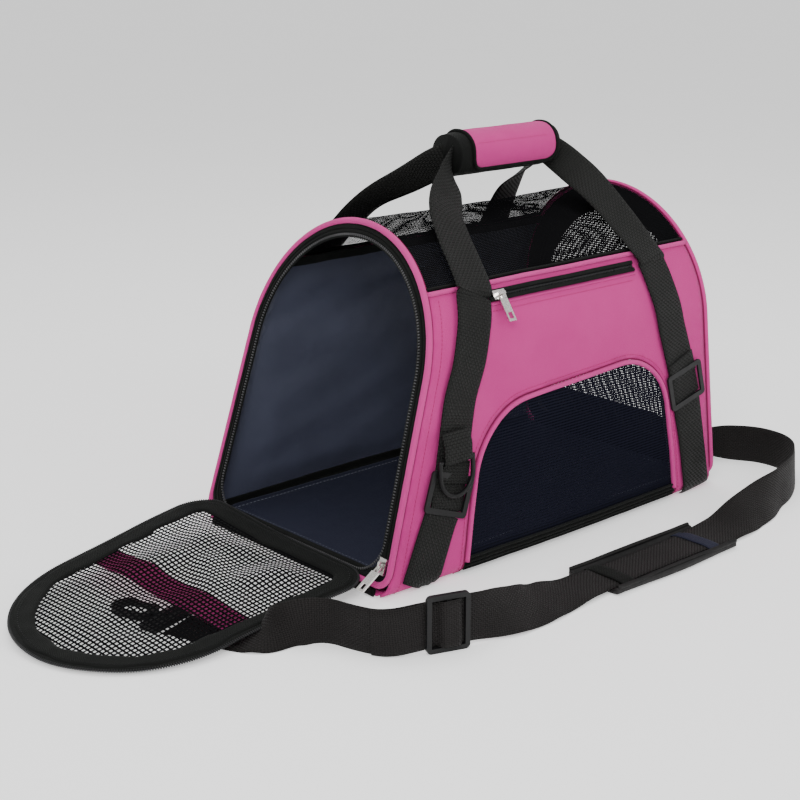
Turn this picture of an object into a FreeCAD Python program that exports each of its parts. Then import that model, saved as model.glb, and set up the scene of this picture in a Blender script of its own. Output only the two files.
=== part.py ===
"""Soft pet carrier bag with two arched mesh doors, webbing handles and a shoulder strap.

Millimetres, +Z up.  The origin is the middle of the flat base, on the floor.  X runs along
the bag, with the front door at -X, and the side with the zipped pocket faces -Y.  The front
door lies open on the floor, the back door is shut, and the shoulder strap lies round the bag.
"""
import FreeCAD, Part
import math
import os

Vector = FreeCAD.Vector

# ---- driving dimensions ----
LENGTH = 430.0          # base, front edge to back edge
HEIGHT = 286.0          # floor to crown of the roof
TOP_RADIUS = 117.5      # round roof
SIDE_TAPER = 0.05       # how far the side walls lean in, per unit height
FRONT_LEAN = 0.302      # how far the front opening leans back, per unit height
BACK_LEAN = 0.083       # the same for the back
CORNER = 12.0           # radius of the long bottom edges
SEAM_Z = 240.0          # where the fabric sides meet the mesh roof
HEM_Z = 15.0            # top of the hem under each side window
BASE_HALF = 112.0       # half width of the flat bottom panel

PANEL_T = 2.6           # side fabric with its foam
POCKET_T = 0.6
LINING_T = 1.0
MESH_T = 1.0
BOARD_T = 3.0
PAD_T = 8.0
PIPING = 5.0            # width of the round piping along both arches
WIRE = 2.0              # spring wire inside the piping
TAPE_T = 2.0            # zip tape and door thickness
DOOR_GAP = 0.9          # a shut door stands this far in front of the zip tape
GAP = 0.3               # clearance between separate bodies

WEB_W = 38.0            # webbing
WEB_T = 1.4
DOOR_INSET = 15.0       # door outline inside the arch
DOOR_BOTTOM = 18.5
DOOR_CORNER = 30.0
DOOR_ZIP_W = 4.0
DOOR_BINDING_W = 12.0
HINGE_Z = 17.8
HINGE_NEAR_Y = -85.0
HINGE_YAW = 3.0         # the fabric hinge pulls the open door this far towards -Y
DOOR_DROP = 3.0         # the open front door slopes down to the floor by this angle

HANDLE_X = (-28.0, 97.0)
HANDLE_Z = 332.5
HANDLE_RY = 20.0
HANDLE_RZ = 19.5

# ---- derived values ----
TOP_CENTRE = HEIGHT - TOP_RADIUS
TAPER = math.atan(SIDE_TAPER)
FRONT_ANGLE = math.atan(FRONT_LEAN)
BACK_ANGLE = math.atan(BACK_LEAN)
FRONT_OPEN = 90.0 + math.degrees(FRONT_ANGLE) + DOOR_DROP
REACH = 600.0           # larger than the bag, for cutting blocks
LINING_OUT = PANEL_T + POCKET_T + 0.6
CABIN_INSET = LINING_OUT + LINING_T
WEB_OUT = 1.6           # webbing lies this far off the panel, over hems and piping
RING_OUT = WEB_OUT + WEB_T + 0.2
RING_T = 1.9

os.makedirs("parts", exist_ok=True)


def save(name, shape):
    """Write one node."""
    if isinstance(shape, (list, tuple)):
        shape = shape[0] if len(shape) == 1 else Part.makeCompound(list(shape))
    if not shape.Solids or not shape.isValid():
        raise RuntimeError("bad shape: " + name)
    shape.exportStep("parts/" + name + ".step")


def fuse(shapes):
    """One shape from several that touch or overlap."""
    return shapes[0].multiFuse(shapes[1:]).removeSplitter()


def box(low, high):
    """Box between two corners."""
    return Part.makeBox(high[0] - low[0], high[1] - low[1], high[2] - low[2], Vector(*low))


def polygon(points):
    """Face with straight edges."""
    return Part.Face(Part.makePolygon(list(points) + [points[0]]))


def rounded(points, radii):
    """Face in the XZ plane: a polygon whose corners have these radii (0 keeps a corner)."""
    count = len(points)
    edges = []
    ends = []
    for i, (x, z) in enumerate(points):
        corner = Vector(x, 0, z)
        before = Vector(points[i - 1][0], 0, points[i - 1][1])
        after = Vector(points[(i + 1) % count][0], 0, points[(i + 1) % count][1])
        a = (before - corner).normalize()
        b = (after - corner).normalize()
        half = a.getAngle(b) / 2
        if not radii[i]:
            ends.append((corner, corner, None))
            continue
        cut = radii[i] / math.tan(half)
        middle = (a + b).normalize()
        near = corner + middle * (radii[i] / math.sin(half) - radii[i])
        ends.append((corner + a * cut, corner + b * cut, near))
    for i, (start, end, middle) in enumerate(ends):
        if middle is not None:
            edges.append(Part.Arc(start, middle, end).toShape())
        edges.append(Part.LineSegment(end, ends[(i + 1) % count][0]).toShape())
    return Part.Face(Part.Wire(edges))


# ---- the arch profile and what is cut from it ----
def arch(inset, bottom, corner):
    """Face in the YZ plane: flat base, rounded corners, leaning sides, round top."""
    top = TOP_RADIUS - inset
    c, s = math.cos(TAPER), math.sin(TAPER)
    low = bottom + corner
    flat = (top - corner - (low - TOP_CENTRE) * s) / c
    turn = (TAPER - math.pi / 2) / 2

    def at(y, z):
        return Vector(0, y, z)

    right = [at(flat, bottom),
             at(flat + corner * math.cos(turn), low + corner * math.sin(turn)),
             at(flat + corner * c, low + corner * s),
             at(top * c, TOP_CENTRE + top * s)]
    left = [at(-p.y, p.z) for p in right]
    edges = [Part.LineSegment(left[0], right[0]),
             Part.Arc(right[0], right[1], right[2]),
             Part.LineSegment(right[2], right[3]),
             Part.Arc(right[3], at(0, TOP_CENTRE + top), left[3]),
             Part.LineSegment(left[3], left[2]),
             Part.Arc(left[2], left[1], left[0])]
    return Part.Face(Part.Wire([e.toShape() for e in edges]))


def tunnel(inset, bottom=0.0, corner=CORNER):
    """The arch profile, drawn out along X."""
    face = arch(inset, bottom, corner)
    face.translate(Vector(-REACH / 2, 0, 0))
    return face.extrude(Vector(REACH, 0, 0))


def shell(outer, inner, bottom=0.0):
    """Skin of the bag between two insets from its outer surface."""
    return tunnel(outer, bottom + outer, max(CORNER - outer, 3)).cut(
        tunnel(inner, bottom + inner, max(CORNER - inner, 3)))


def leaning(x_low, lean_low, x_high, lean_high):
    """Everything between two planes that lean along X; x is where each meets the floor."""
    low, high = -50.0, 450.0
    corners = [(x_low + lean_low * low, low), (x_high + lean_high * low, low),
               (x_high + lean_high * high, high), (x_low + lean_low * high, high)]
    face = polygon([Vector(x, -REACH / 2, z) for x, z in corners])
    return face.extrude(Vector(0, REACH, 0))


def front_x(depth, z=0.0):
    """X of the plane this deep inside the front opening, at height z."""
    return -LENGTH / 2 + depth / math.cos(FRONT_ANGLE) + FRONT_LEAN * z


def back_x(depth, z=0.0):
    return LENGTH / 2 - depth / math.cos(BACK_ANGLE) - BACK_LEAN * z


def front_slab(depth, thick):
    return leaning(front_x(depth), FRONT_LEAN, front_x(depth + thick), FRONT_LEAN)


def back_slab(depth, thick):
    return leaning(back_x(depth + thick), -BACK_LEAN, back_x(depth), -BACK_LEAN)


def length_of_bag(depth):
    """The bag's length between the two openings, less this much at each end."""
    return leaning(front_x(depth), FRONT_LEAN, back_x(depth), -BACK_LEAN)


def side(sign):
    """The half of space on one side: -1 is near, +1 is far."""
    return box((-REACH / 2, min(0, sign * REACH / 2), -50), (REACH / 2, max(0, sign * REACH / 2), 450))


def mirrored(shape):
    return shape.mirror(Vector(0, 0, 0), Vector(0, 1, 0))


WINDOW = [(-124, 0), (-96, 134), (134, 147), (151, 0)]
WINDOW_RADII = [0, 70, 60, 0]


def window_hole(grow):
    """Side window outline drawn through the bag, grown outwards and down to the hem."""
    (x0, z0), (x1, z1), (x2, z2), (x3, z3) = WINDOW
    points = [(x0 - grow, z0 - 20), (x1 - grow, z1 + grow), (x2 + grow, z2 + grow), (x3 + grow, z3 - 20)]
    face = rounded(points, [0, WINDOW_RADII[1] + grow, WINDOW_RADII[2] + grow, 0])
    face.translate(Vector(0, -REACH / 2, 0))
    return face.extrude(Vector(0, REACH, 0))


def above(z):
    return box((-REACH / 2, -REACH / 2, z), (REACH / 2, REACH / 2, 450))


def below(z):
    return box((-REACH / 2, -REACH / 2, -50), (REACH / 2, REACH / 2, z))


def make_base():
    """Flat outer bottom, stiffening board, and the padded mat on it."""
    flat = shell(0, PANEL_T).common(length_of_bag(4)).common(
        box((-REACH / 2, -BASE_HALF, -1), (REACH / 2, BASE_HALF, PANEL_T + 0.1)))
    save("base_panel", flat)
    board = box((-REACH / 2, -108, PANEL_T + 0.2), (REACH / 2, 108, PANEL_T + 0.2 + BOARD_T))
    save("base_board", board.common(length_of_bag(9)))
    low = PANEL_T + BOARD_T + 0.4
    pad = tunnel(CABIN_INSET + 1.4, CABIN_INSET + 0.4, 4).common(
        box((-300, -150, low), (300, 150, low + PAD_T)))
    save("floor_pad", pad.common(length_of_bag(7)))
    for name, slab in (("front_sill", front_slab(-0.6, 4.4)), ("back_sill", back_slab(-0.6, 4.4))):
        save(name, slab.common(box((-REACH / 2, -BASE_HALF, 0.2), (REACH / 2, BASE_HALF, 7.6))))


def make_sides():
    """Fabric panels and linings; the near side has a mesh window with piping and hem."""
    length = length_of_bag(4)
    hole = window_hole(5.0)
    skin = shell(0, PANEL_T).common(length).common(below(SEAM_Z))
    flat = box((-REACH / 2, -BASE_HALF - 0.2, -1), (REACH / 2, BASE_HALF + 0.2, PANEL_T + 1))
    panel = skin.cut(flat)
    hem_bar = shell(0.2, PANEL_T).cut(flat).common(window_hole(4.6)).common(below(HEM_Z))
    lining = shell(LINING_OUT, CABIN_INSET).common(length_of_bag(5)).common(below(SEAM_Z - 0.4))
    lining = lining.common(above(LINING_OUT + 12.0))
    mesh = shell(0.8, 0.8 + MESH_T).common(window_hole(-0.2)).common(above(HEM_Z + 0.2)).common(below(200))
    rim = shell(-1.2, 3.2).common(window_hole(4.8).cut(window_hole(0))).common(above(HEM_Z + 0.2))
    rim = rim.common(below(200))
    top_hem = shell(-1.4, -0.2).common(length_of_bag(5)).common(above(SEAM_Z - 5)).common(below(SEAM_Z + 1))
    near = side(-1)
    save("side_panel_near", panel.common(near).cut(hole))
    save("side_lining_near", lining.common(near).cut(hole))
    save("side_panel_far", panel.common(side(1)))
    save("side_lining_far", lining.common(side(1)))
    save("window_mesh", mesh.common(near))
    save("window_piping", rim.common(near))
    save("window_hem", hem_bar.common(near))
    save("roof_hems", top_hem)
    save("roof_mesh", shell(0.6, 0.6 + MESH_T).common(length).common(above(SEAM_Z + 0.3)))


def make_arch_trim():
    """Piping with its spring wire, and the fixed half of each door's zip."""
    wire_low = (PIPING - WIRE) / 2
    wires = []
    for name, slab in (("front", front_slab), ("back", back_slab)):
        outer = tunnel(-2, 7.8, CORNER + 3).cut(tunnel(PIPING - 2, 7.8 + PIPING, CORNER - 2))
        groove = tunnel(wire_low - 2, 7.8 + wire_low, CORNER + 1.5).cut(
            tunnel(wire_low + WIRE - 2, 7.8 + wire_low + WIRE, CORNER - 0.5))
        wire = groove.common(slab(wire_low - 1.5, WIRE))
        save(name + "_piping", outer.common(slab(-1.5, PIPING)).cut(wire))
        wires.append(wire)
        opening = tunnel(DOOR_INSET - 1, HINGE_Z - 0.6, DOOR_CORNER + 1)
        tape = tunnel(PIPING - 1.8, 13.2, CORNER - 2).cut(opening)
        save(name + "_zip_tape", tape.common(slab(0, TAPE_T)))
    save("arch_wires", wires)


def door_solids(slab):
    """Zip, binding, mesh and cross band of a shut door, in front of its opening."""
    front = -DOOR_GAP - TAPE_T
    body = slab(front, TAPE_T)
    edge = tunnel(DOOR_INSET, DOOR_BOTTOM, DOOR_CORNER)
    zip_in = tunnel(DOOR_INSET + DOOR_ZIP_W, DOOR_BOTTOM + DOOR_ZIP_W, DOOR_CORNER - DOOR_ZIP_W)
    reach_in = DOOR_ZIP_W + DOOR_BINDING_W
    binding_in = tunnel(DOOR_INSET + reach_in, DOOR_BOTTOM + reach_in, DOOR_CORNER - reach_in)
    band = box((-REACH / 2, -REACH / 2, 128), (REACH / 2, REACH / 2, 155))
    return {"zip": edge.cut(zip_in).common(body),
            "binding": zip_in.cut(binding_in).common(body),
            "mesh": binding_in.common(slab(front + 0.5, MESH_T)),
            "band": zip_in.common(slab(front - 1.0, 0.9)).common(band)}


def make_doors():
    axis = Vector(-math.sin(math.radians(HINGE_YAW)), math.cos(math.radians(HINGE_YAW)), 0)
    pivot = Vector(front_x(-DOOR_GAP - TAPE_T / 2, HINGE_Z), HINGE_NEAR_Y, HINGE_Z)
    for part, solid in door_solids(front_slab).items():
        solid.rotate(pivot, axis, -FRONT_OPEN)
        save("front_door_" + part, solid)
    for part, solid in door_solids(back_slab).items():
        if part != "band":
            save("back_door_" + part, solid)
    print("front hinge pivot", [round(v, 3) for v in pivot], "axis", [round(v, 4) for v in axis])
    print("back hinge pivot", round(back_x(-DOOR_GAP - TAPE_T / 2, HINGE_Z), 3), HINGE_Z)


# ---- placing things on the near side ----
def surface(z, out=0.0):
    """Y and Z of a point on the near side, and the angle that the surface leans there."""
    shoulder = TOP_CENTRE + TOP_RADIUS * math.sin(TAPER)
    if z <= shoulder:
        angle = TAPER
        y = (TOP_RADIUS - (z - TOP_CENTRE) * math.sin(TAPER)) / math.cos(TAPER)
    else:
        angle = math.asin((z - TOP_CENTRE) / TOP_RADIUS)
        y = TOP_RADIUS * math.cos(angle)
    return -y - out * math.cos(angle), z + out * math.sin(angle), angle


def on_side(shape, x, z, out=0.0, turn=0.0):
    """Move a shape drawn in XY with +Z outwards onto the near side, turned in its plane."""
    y, height, angle = surface(z, out)
    across = Vector(1, 0, 0)
    up = Vector(0, math.sin(angle), math.cos(angle))
    outward = Vector(0, -math.cos(angle), math.sin(angle))
    spin = FreeCAD.Rotation(Vector(0, 0, 1), turn)
    place = FreeCAD.Placement(Vector(x, y, height), FreeCAD.Rotation(across, up, outward, "ZXY") * spin)
    placed = shape.copy()
    placed.Placement = place.multiply(placed.Placement)
    return placed


def frame(width, height, bar, thick, slots=1):
    """Flat rectangular loop with rounded corners, centred, lying in XY."""
    body = box((-width / 2, -height / 2, 0), (width / 2, height / 2, thick))
    body = body.makeFillet(4.0, [e for e in body.Edges if abs(e.BoundBox.ZLength - thick) < 0.01])
    clear = (height - bar * (slots + 1)) / slots
    for i in range(slots):
        low = -height / 2 + bar + i * (clear + bar)
        body = body.cut(box((-width / 2 + bar, low, -1), (width / 2 - bar, low + clear, thick + 1)))
    return body


# Webbing: bottom point, ring, and the point where it leaves the roof edge, as (x, z).
FRONT_WEB = [(-181.0, 0.0), (-143.0, 76.0), (-126.0, 152.0), (-90.0, 241.0)]
BACK_WEB = [(187.0, 0.0), (167.0, 110.0), (149.0, 165.0), (131.0, 237.0)]
D_RING_BAR = 4.0
D_RING_R = 18.5
D_RING_LEG = 13.0
D_TAB_W = 32.0
D_RING_OUT = RING_OUT + RING_T + 0.4 + D_RING_BAR / 2
D_FRONT = (-136.5, 106.0)       # pivots, as (x, z)
D_BACK = (160.0, 140.0)
D_BACK_LIFT = 52.0              # the strap's hook holds the back ring away from the side


def strip(points, width):
    """Side view of a webbing strap whose middle runs through these points."""
    left, right = [], []
    for i, (x, z) in enumerate(points):
        a = points[max(i - 1, 0)]
        b = points[min(i + 1, len(points) - 1)]
        along = Vector(b[0] - a[0], 0, b[1] - a[1]).normalize()
        across = Vector(along.z, 0, -along.x) * (width / 2)
        left.append(Vector(x, -REACH / 2, z) - across)
        right.append(Vector(x, -REACH / 2, z) + across)
    return polygon(left + right[::-1]).extrude(Vector(0, REACH / 2 - 1, 0))


def on_panel(points, out=WEB_OUT, thick=WEB_T, width=WEB_W):
    """Webbing lying on the near side."""
    skin = tunnel(-out - thick, -out - thick, CORNER + out + thick).cut(tunnel(-out, -out, CORNER + out))
    return skin.common(strip(points, width)).common(above(0.2))


def section(centre, along, across, width, thick):
    """Rectangular wire of a strap, square to its run."""
    wide = (across - along * across.dot(along)).normalize() * (width / 2)
    deep = along.cross(wide).normalize() * (thick / 2)
    corners = [centre + wide + deep, centre + wide - deep, centre - wide - deep, centre - wide + deep]
    return Part.makePolygon(corners + [corners[0]])


def ribbon(stations):
    """Straight-ruled strap through sections (centre, along, across, width, thickness)."""
    wires = [section(Vector(*c), Vector(*a).normalize(), Vector(*w), width, thick)
             for c, a, w, width, thick in stations]
    return [Part.makeLoft([one, two], True, True) for one, two in zip(wires, wires[1:])]


HEM_CLEAR = 2.4         # how far the handle stands out where it crosses the roof hem


def handle_leg(web, elbow, end_x, towards):
    """Webbing from the roof edge up to the grip, in two straight pulls."""
    x, z = web[-1]
    y, height, _ = surface(z, WEB_OUT + WEB_T / 2 + HEM_CLEAR)
    foot = (x, y, height)
    end = (end_x, -2.7, HANDLE_Z)
    rise = [e - f for e, f in zip(elbow, foot)]
    reach = [e - f for e, f in zip(end, elbow)]
    return ribbon([(foot, rise, (1, 0, -0.15 * towards), WEB_W, WEB_T),
                   (elbow, [a + b for a, b in zip(rise, reach)], (1, 0, -0.4 * towards), WEB_W - 4, WEB_T),
                   (end, (towards, 0, 0), (0, 0, -1), 23.0, 3.0)])


def make_webbing():
    """Sewn webbing on both sides, the rings on it, and the two handle loops."""
    rings = []
    for name, keep in (("near", Part.Shape.copy), ("far", mirrored)):
        legs, anchors = [], []
        for web, elbow, grip_x, towards in ((FRONT_WEB, (-77, -50, 290), HANDLE_X[0], 1),
                                            (BACK_WEB, (113, -58, 288.5), HANDLE_X[1], -1)):
            (x0, z0), (x1, z1), (x2, z2), top = web
            below_ring = ((x0 * 12 + x1 * (z1 - 12)) / z1, z1 - 12)
            anchors.append(keep(on_panel([(x0, z0), below_ring])))
            lean = math.degrees(math.atan2(x2 - x0, z2 - z0))
            ring = frame(WEB_W + 11, 36, 5, RING_T)
            rings.append(keep(on_side(ring, x1, z1, RING_OUT, -lean)))
            above_ring = ((x1 * (z2 - z1 - 8) + x2 * 8) / (z2 - z1), z1 + 8)
            legs.append(on_panel([above_ring, (x2, z2), top]))
            legs += handle_leg(web, elbow, grip_x, towards)
        inner = box((HANDLE_X[0], -4.2, HANDLE_Z - 11.5), (HANDLE_X[1], -1.2, HANDLE_Z + 11.5))
        save("handle_web_" + name, keep(Part.makeCompound(legs + [inner])))
        save("anchor_webs_" + name, anchors)
    save("web_rings", rings)


def make_grip():
    """Padded wrap that holds both handle loops together."""
    def oval(shrink):
        ellipse = Part.Ellipse(Vector(0, 0, 0), HANDLE_RY - shrink, HANDLE_RZ - shrink)
        face = Part.Face(Part.Wire([ellipse.toShape()]))
        along = FreeCAD.Rotation(Vector(0, 1, 0), Vector(0, 0, 1), Vector(1, 0, 0), "ZXY")
        face.Placement = FreeCAD.Placement(Vector(HANDLE_X[0], 0, HANDLE_Z), along)
        return face.extrude(Vector(HANDLE_X[1] - HANDLE_X[0], 0, 0))

    save("grip_cover", oval(0).cut(oval(1.8)))
    save("grip_foam", oval(2.0).cut(oval(7.0)))


def d_ring():
    """D-shaped loop hanging down from its straight bar, which lies along X at the origin."""
    r, leg = D_RING_R, D_RING_LEG
    parts = [Part.makeCylinder(D_RING_BAR / 2, 2 * r, Vector(-r, 0, 0), Vector(1, 0, 0)),
             Part.makeCylinder(D_RING_BAR / 2, leg, Vector(-r, 0, 0), Vector(0, -1, 0)),
             Part.makeCylinder(D_RING_BAR / 2, leg, Vector(r, 0, 0), Vector(0, -1, 0)),
             Part.makeSphere(D_RING_BAR / 2, Vector(-r, 0, 0)),
             Part.makeSphere(D_RING_BAR / 2, Vector(r, 0, 0))]
    bend = Part.makeTorus(r, D_RING_BAR / 2, Vector(0, -leg, 0), Vector(0, 0, 1), 0, 360, 180)
    bend.rotate(Vector(0, -leg, 0), Vector(0, 0, 1), 180)
    return fuse(parts + [bend])


def make_d_rings():
    """One D-ring at the near front and one at the far back, in a folded webbing tab each."""
    for name, x, z, lift, keep in (("front", D_FRONT[0], D_FRONT[1], 0.0, Part.Shape.copy),
                                   ("back", D_BACK[0], D_BACK[1], D_BACK_LIFT, mirrored)):
        ring = d_ring()
        ring.rotate(Vector(0, 0, 0), Vector(1, 0, 0), -lift)
        save("d_ring_" + name, keep(on_side(ring, x, z, D_RING_OUT)))
        low = RING_OUT - D_RING_OUT
        tab = box((-D_TAB_W / 2, -5, low), (D_TAB_W / 2, 16, D_RING_BAR / 2 + 1.6))
        bore = Part.makeCylinder(D_RING_BAR / 2 + 0.08, 60, Vector(-30, 0, 0), Vector(1, 0, 0))
        save("d_ring_tab_" + name, keep(on_side(tab.cut(bore), x, z, D_RING_OUT)))
        print("d ring", name, x, [round(v, 3) for v in surface(z, D_RING_OUT)[:2]])


# ---- zip sliders and pullers ----
SLIDER = (14.0, 8.0, 3.6)
PULLER = (26.0, 8.5, 1.4)


def slider():
    """Slider body with the arched bridge that the puller hangs on; it runs along X."""
    length, width, height = SLIDER
    body = box((-length / 2, -width / 2, 0), (length / 2, width / 2, height * 0.55))
    bridge = box((-4, -1.2, 0), (4, 1.2, height + 2.4))
    bridge = bridge.cut(box((-2.4, -3, height * 0.55), (2.4, 3, height + 1.0)))
    return fuse([body, bridge])


def puller(forked):
    """Puller plate in XY, its pivot eye at the origin, hanging along -Y."""
    length, width, thick = PULLER
    plate = box((-width / 2, -length, -thick / 2), (width / 2, -5, thick / 2))
    window = box((-width / 2 + 2, -length + 2.2, -3), (width / 2 - 2, -length + 8, 3))
    if forked:
        arms = [box((x, -5.5, -thick / 2), (x + 1.2, 1, thick / 2)) for x in (-2.7, 1.5)]
        return fuse([plate.cut(window), box((-2.7, -0.6, -0.6), (2.7, 0.6, 0.6))] + arms)
    return fuse([plate.cut(window), box((-1.3, -5.5, -thick / 2), (1.3, -2.6, thick / 2))])


def make_pocket_zip():
    """Pocket opening under the roof hem, its bag, slider and puller."""
    low, high = 224.5, 233.0
    x0, x1 = -74.0, 108.0
    tape = shell(-1.2, -0.2).common(box((x0, -200, low), (x1, 0, high)))
    save("pocket_zip_tape", tape)
    bag = shell(PANEL_T + 0.2, PANEL_T + 0.2 + POCKET_T).common(box((x0 - 4, -200, 162), (x1 + 4, 0, high)))
    save("pocket_bag", bag)
    x, z = x0 + 9, (low + high) / 2
    save("pocket_slider", on_side(slider(), x, z, 1.2 + GAP))
    lifted = SLIDER[2] + 0.2
    tab = puller(False)
    tab.rotate(Vector(0, 0, 0), Vector(1, 0, 0), -4)
    save("pocket_puller", on_side(tab, x, z, 1.2 + GAP + lifted))
    print("pocket puller pivot", x, [round(v, 3) for v in surface(z, 1.2 + GAP + lifted)[:2]])


def on_opening(shape, plane, y, z, depth, turn):
    """Put a shape drawn in XY with +Z outwards onto the front or back opening's plane."""
    if plane == "front":
        across, up = Vector(0, -1, 0), Vector(math.sin(FRONT_ANGLE), 0, math.cos(FRONT_ANGLE))
        x = front_x(-depth, z)
    else:
        across, up = Vector(0, 1, 0), Vector(-math.sin(BACK_ANGLE), 0, math.cos(BACK_ANGLE))
        x = back_x(-depth, z)
    spin = FreeCAD.Rotation(Vector(0, 0, 1), turn)
    base = FreeCAD.Rotation(across, up, across.cross(up), "ZXY")
    placed = shape.copy()
    placed.Placement = FreeCAD.Placement(Vector(x, y, z), base * spin).multiply(placed.Placement)
    return placed


def make_door_sliders():
    """Slider and puller of each door's zip, on the fixed tape at the near side."""
    inset = (PIPING - 2 + DOOR_INSET - 1) / 2 - 0.3
    for plane, sign, z, lift in (("front", 1, 27.0, 40.0), ("back", -1, 44.0, 6.0)):
        y = -(TOP_RADIUS - inset - (z - TOP_CENTRE) * math.sin(TAPER)) / math.cos(TAPER)
        save(plane + "_slider", on_opening(slider(), plane, y, z, GAP, 90 - sign * math.degrees(TAPER)))
        tab = puller(True)
        tab.rotate(Vector(0, 0, 0), Vector(1, 0, 0), -lift)
        tab = on_opening(tab, plane, y, z, GAP + SLIDER[2] + 0.2, 0)
        save(plane + "_puller", tab)
        print(plane, "puller pivot", [round(v, 3) for v in tab.Placement.Base])


# ---- shoulder strap ----
STRAP_Z = 0.2           # underside of the strap
EDGE_Z = STRAP_Z + WEB_W / 2


def flat_path(points, name):
    """Strap standing on edge along straight runs joined by tangent arcs."""
    pts = [Vector(x, y, STRAP_Z) for x, y in points]
    pieces, radii = [], []
    start, length = pts[0], 0.0
    half = WEB_T / 2
    for a, b, c in zip(pts, pts[1:], pts[2:]):
        back, ahead = (a - b).normalize(), (c - b).normalize()
        turn = math.pi - back.getAngle(ahead)
        cut = 0.45 * min((b - a).Length, (c - b).Length)
        radius = cut / math.tan(turn / 2)
        centre = b + (back + ahead).normalize() * math.hypot(cut, radius)
        rays = [(p - centre).normalize() for p in (b + back * cut, b, b + ahead * cut)]
        near, far = [[centre + ray * r for ray in rays] for r in (radius - half, radius + half)]
        edges = [Part.Arc(*near), Part.LineSegment(near[2], far[2]), Part.Arc(*far),
                 Part.LineSegment(far[0], near[0])]
        pieces.append(Part.Face(Part.Wire(Part.__sortEdges__([e.toShape() for e in edges]))))
        pieces.append(straight(start, b + back * cut, half))
        length += (b + back * cut - start).Length + radius * turn
        start = b + ahead * cut
        radii.append(round(radius))
    pieces.append(straight(start, pts[-1], half))
    length += (pts[-1] - start).Length
    solid = fuse([p.extrude(Vector(0, 0, WEB_W)) for p in pieces])
    print(name, "radii", radii, "length", round(length, 1),
          "volume / section", round(solid.Volume / (WEB_T * WEB_W), 1))
    return solid


def straight(start, end, half):
    """Thin upright face between two points."""
    normal = Vector(start.y - end.y, end.x - start.x, 0).normalize() * half
    return polygon([start - normal, end - normal, end + normal, start + normal])


FRONT_RUN = [(-318, -141), (-297, -152), (-291, -178), (-281, -202), (-255, -216), (-218, -229),
             (-165, -234)]
BACK_RUN = [(160, -216), (215, -207), (262, -190), (298, -158), (303, -122), (288, -96)]
FAR_RUN = [(260, -8), (259, 60), (260, 112), (246, 146), (214, 157)]
PAD_X = (-63.0, 96.0)
PAD_Y = (-246.0, -188.0)
PAD_STRAP = (-217.0, 4.7)       # Y and Z of the strap inside the pad


def make_strap():
    """Shoulder strap: on edge where it curves, flat under the door and through the pad."""
    up = (0, 0, 1)
    size = (WEB_W, WEB_T)
    flat = STRAP_Z + WEB_T / 2
    turn = math.radians(FRONT_HOOK_TURN)
    bar = HOOK_LENGTH - 2
    eye = (FRONT_HOOK[0] + bar * math.sin(turn), FRONT_HOOK[1] - bar * math.cos(turn))
    lead = ribbon([(eye + (flat,), (0.3, -1, 0), (1, 0.3, 0)) + size,
                   ((-350, -92, flat), (0.3, -1, 0), (1, 0.3, 0)) + size,
                   ((-343, -114, flat), (0.5, -1, 0), (1, 0.5, 0)) + size,
                   (FRONT_RUN[0] + (EDGE_Z,), (21, -11, 0), up) + size])
    save("strap_front", fuse(lead + [flat_path(FRONT_RUN, "strap front run")]))
    pad_y, pad_z = PAD_STRAP
    middle = ribbon([(FRONT_RUN[-1] + (EDGE_Z,), (53, -5, 0), up) + size,
                     ((PAD_X[0] - 12, pad_y, pad_z), (1, 0, 0), (0, 1, 0)) + size,
                     ((PAD_X[1] + 12, pad_y, pad_z), (1, 0, 0), (0, 1, 0)) + size,
                     (BACK_RUN[0] + (EDGE_Z,), (55, 9, 0), up) + size])
    save("strap_middle", fuse(middle))
    bend = ribbon([(BACK_RUN[-1] + (EDGE_Z,), (-15, 26, 0), up) + size,
                   ((264, -56, 9), (-0.25, 1, 0), (-0.9, 0, 0.42)) + size,
                   (FAR_RUN[0] + (EDGE_Z,), (-1, 68, 0), up) + size])
    end = back_hook_top() + Vector(0, 0, -HOOK_LENGTH - 1)
    tail = ribbon([(FAR_RUN[-1] + (EDGE_Z,), (-32, 11, 0), up) + size,
                   ((180, end.y + 2, 14), (-1, 0, 0.6), (0, 1, 0.2)) + size,
                   (tuple(end), (0, 0, 1), (0, 1, 0)) + size])
    runs = [flat_path(BACK_RUN, "strap back run"), flat_path(FAR_RUN, "strap far run")]
    save("strap_back", fuse(runs + bend + tail))


def make_pad_and_adjuster():
    """Shoulder pad, with the sleeve that the strap runs through, and the strap adjuster."""
    pad = box((PAD_X[0], PAD_Y[0], 0.4), (PAD_X[1], PAD_Y[1], 8.6))
    room = WEB_W / 2 + 1.2
    slot = box((PAD_X[0] - 1, PAD_STRAP[0] - room, PAD_STRAP[1] - 1.5),
               (PAD_X[1] + 1, PAD_STRAP[0] + room, PAD_STRAP[1] + 1.5))
    save("shoulder_pad", pad.cut(slot))
    a, b = FRONT_RUN[4], FRONT_RUN[5]
    angle = math.atan2(b[1] - a[1], b[0] - a[0])
    loop = frame(WEB_W + 9, 36, 4, 4.0, slots=2)
    loop.rotate(Vector(0, 0, 0), Vector(0, 0, 1), 90)
    upright = FreeCAD.Rotation(Vector(math.cos(angle), math.sin(angle), 0), Vector(0, 0, 1),
                               Vector(math.sin(angle), -math.cos(angle), 0), "ZXY")
    middle = Vector((a[0] + b[0]) / 2, (a[1] + b[1]) / 2, (WEB_W + 9) / 2 + 0.3)
    out = Vector(math.sin(angle), -math.cos(angle), 0) * (WEB_T / 2 + 0.2)
    loop.Placement = FreeCAD.Placement(middle + out, upright).multiply(loop.Placement)
    save("strap_adjuster", loop)


HOOK_T = 5.0
JAW_W = 26.0
JAW_L = 42.0
JAW_BAR = 5.5
POST_L = 10.0
EYE_W = 48.0
EYE_L = 16.0
HOOK_LENGTH = JAW_L + POST_L + EYE_L - 1.5
FRONT_HOOK = (-383.0, 11.0)     # tip of the free hook's jaw
FRONT_HOOK_TURN = 17.0


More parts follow.
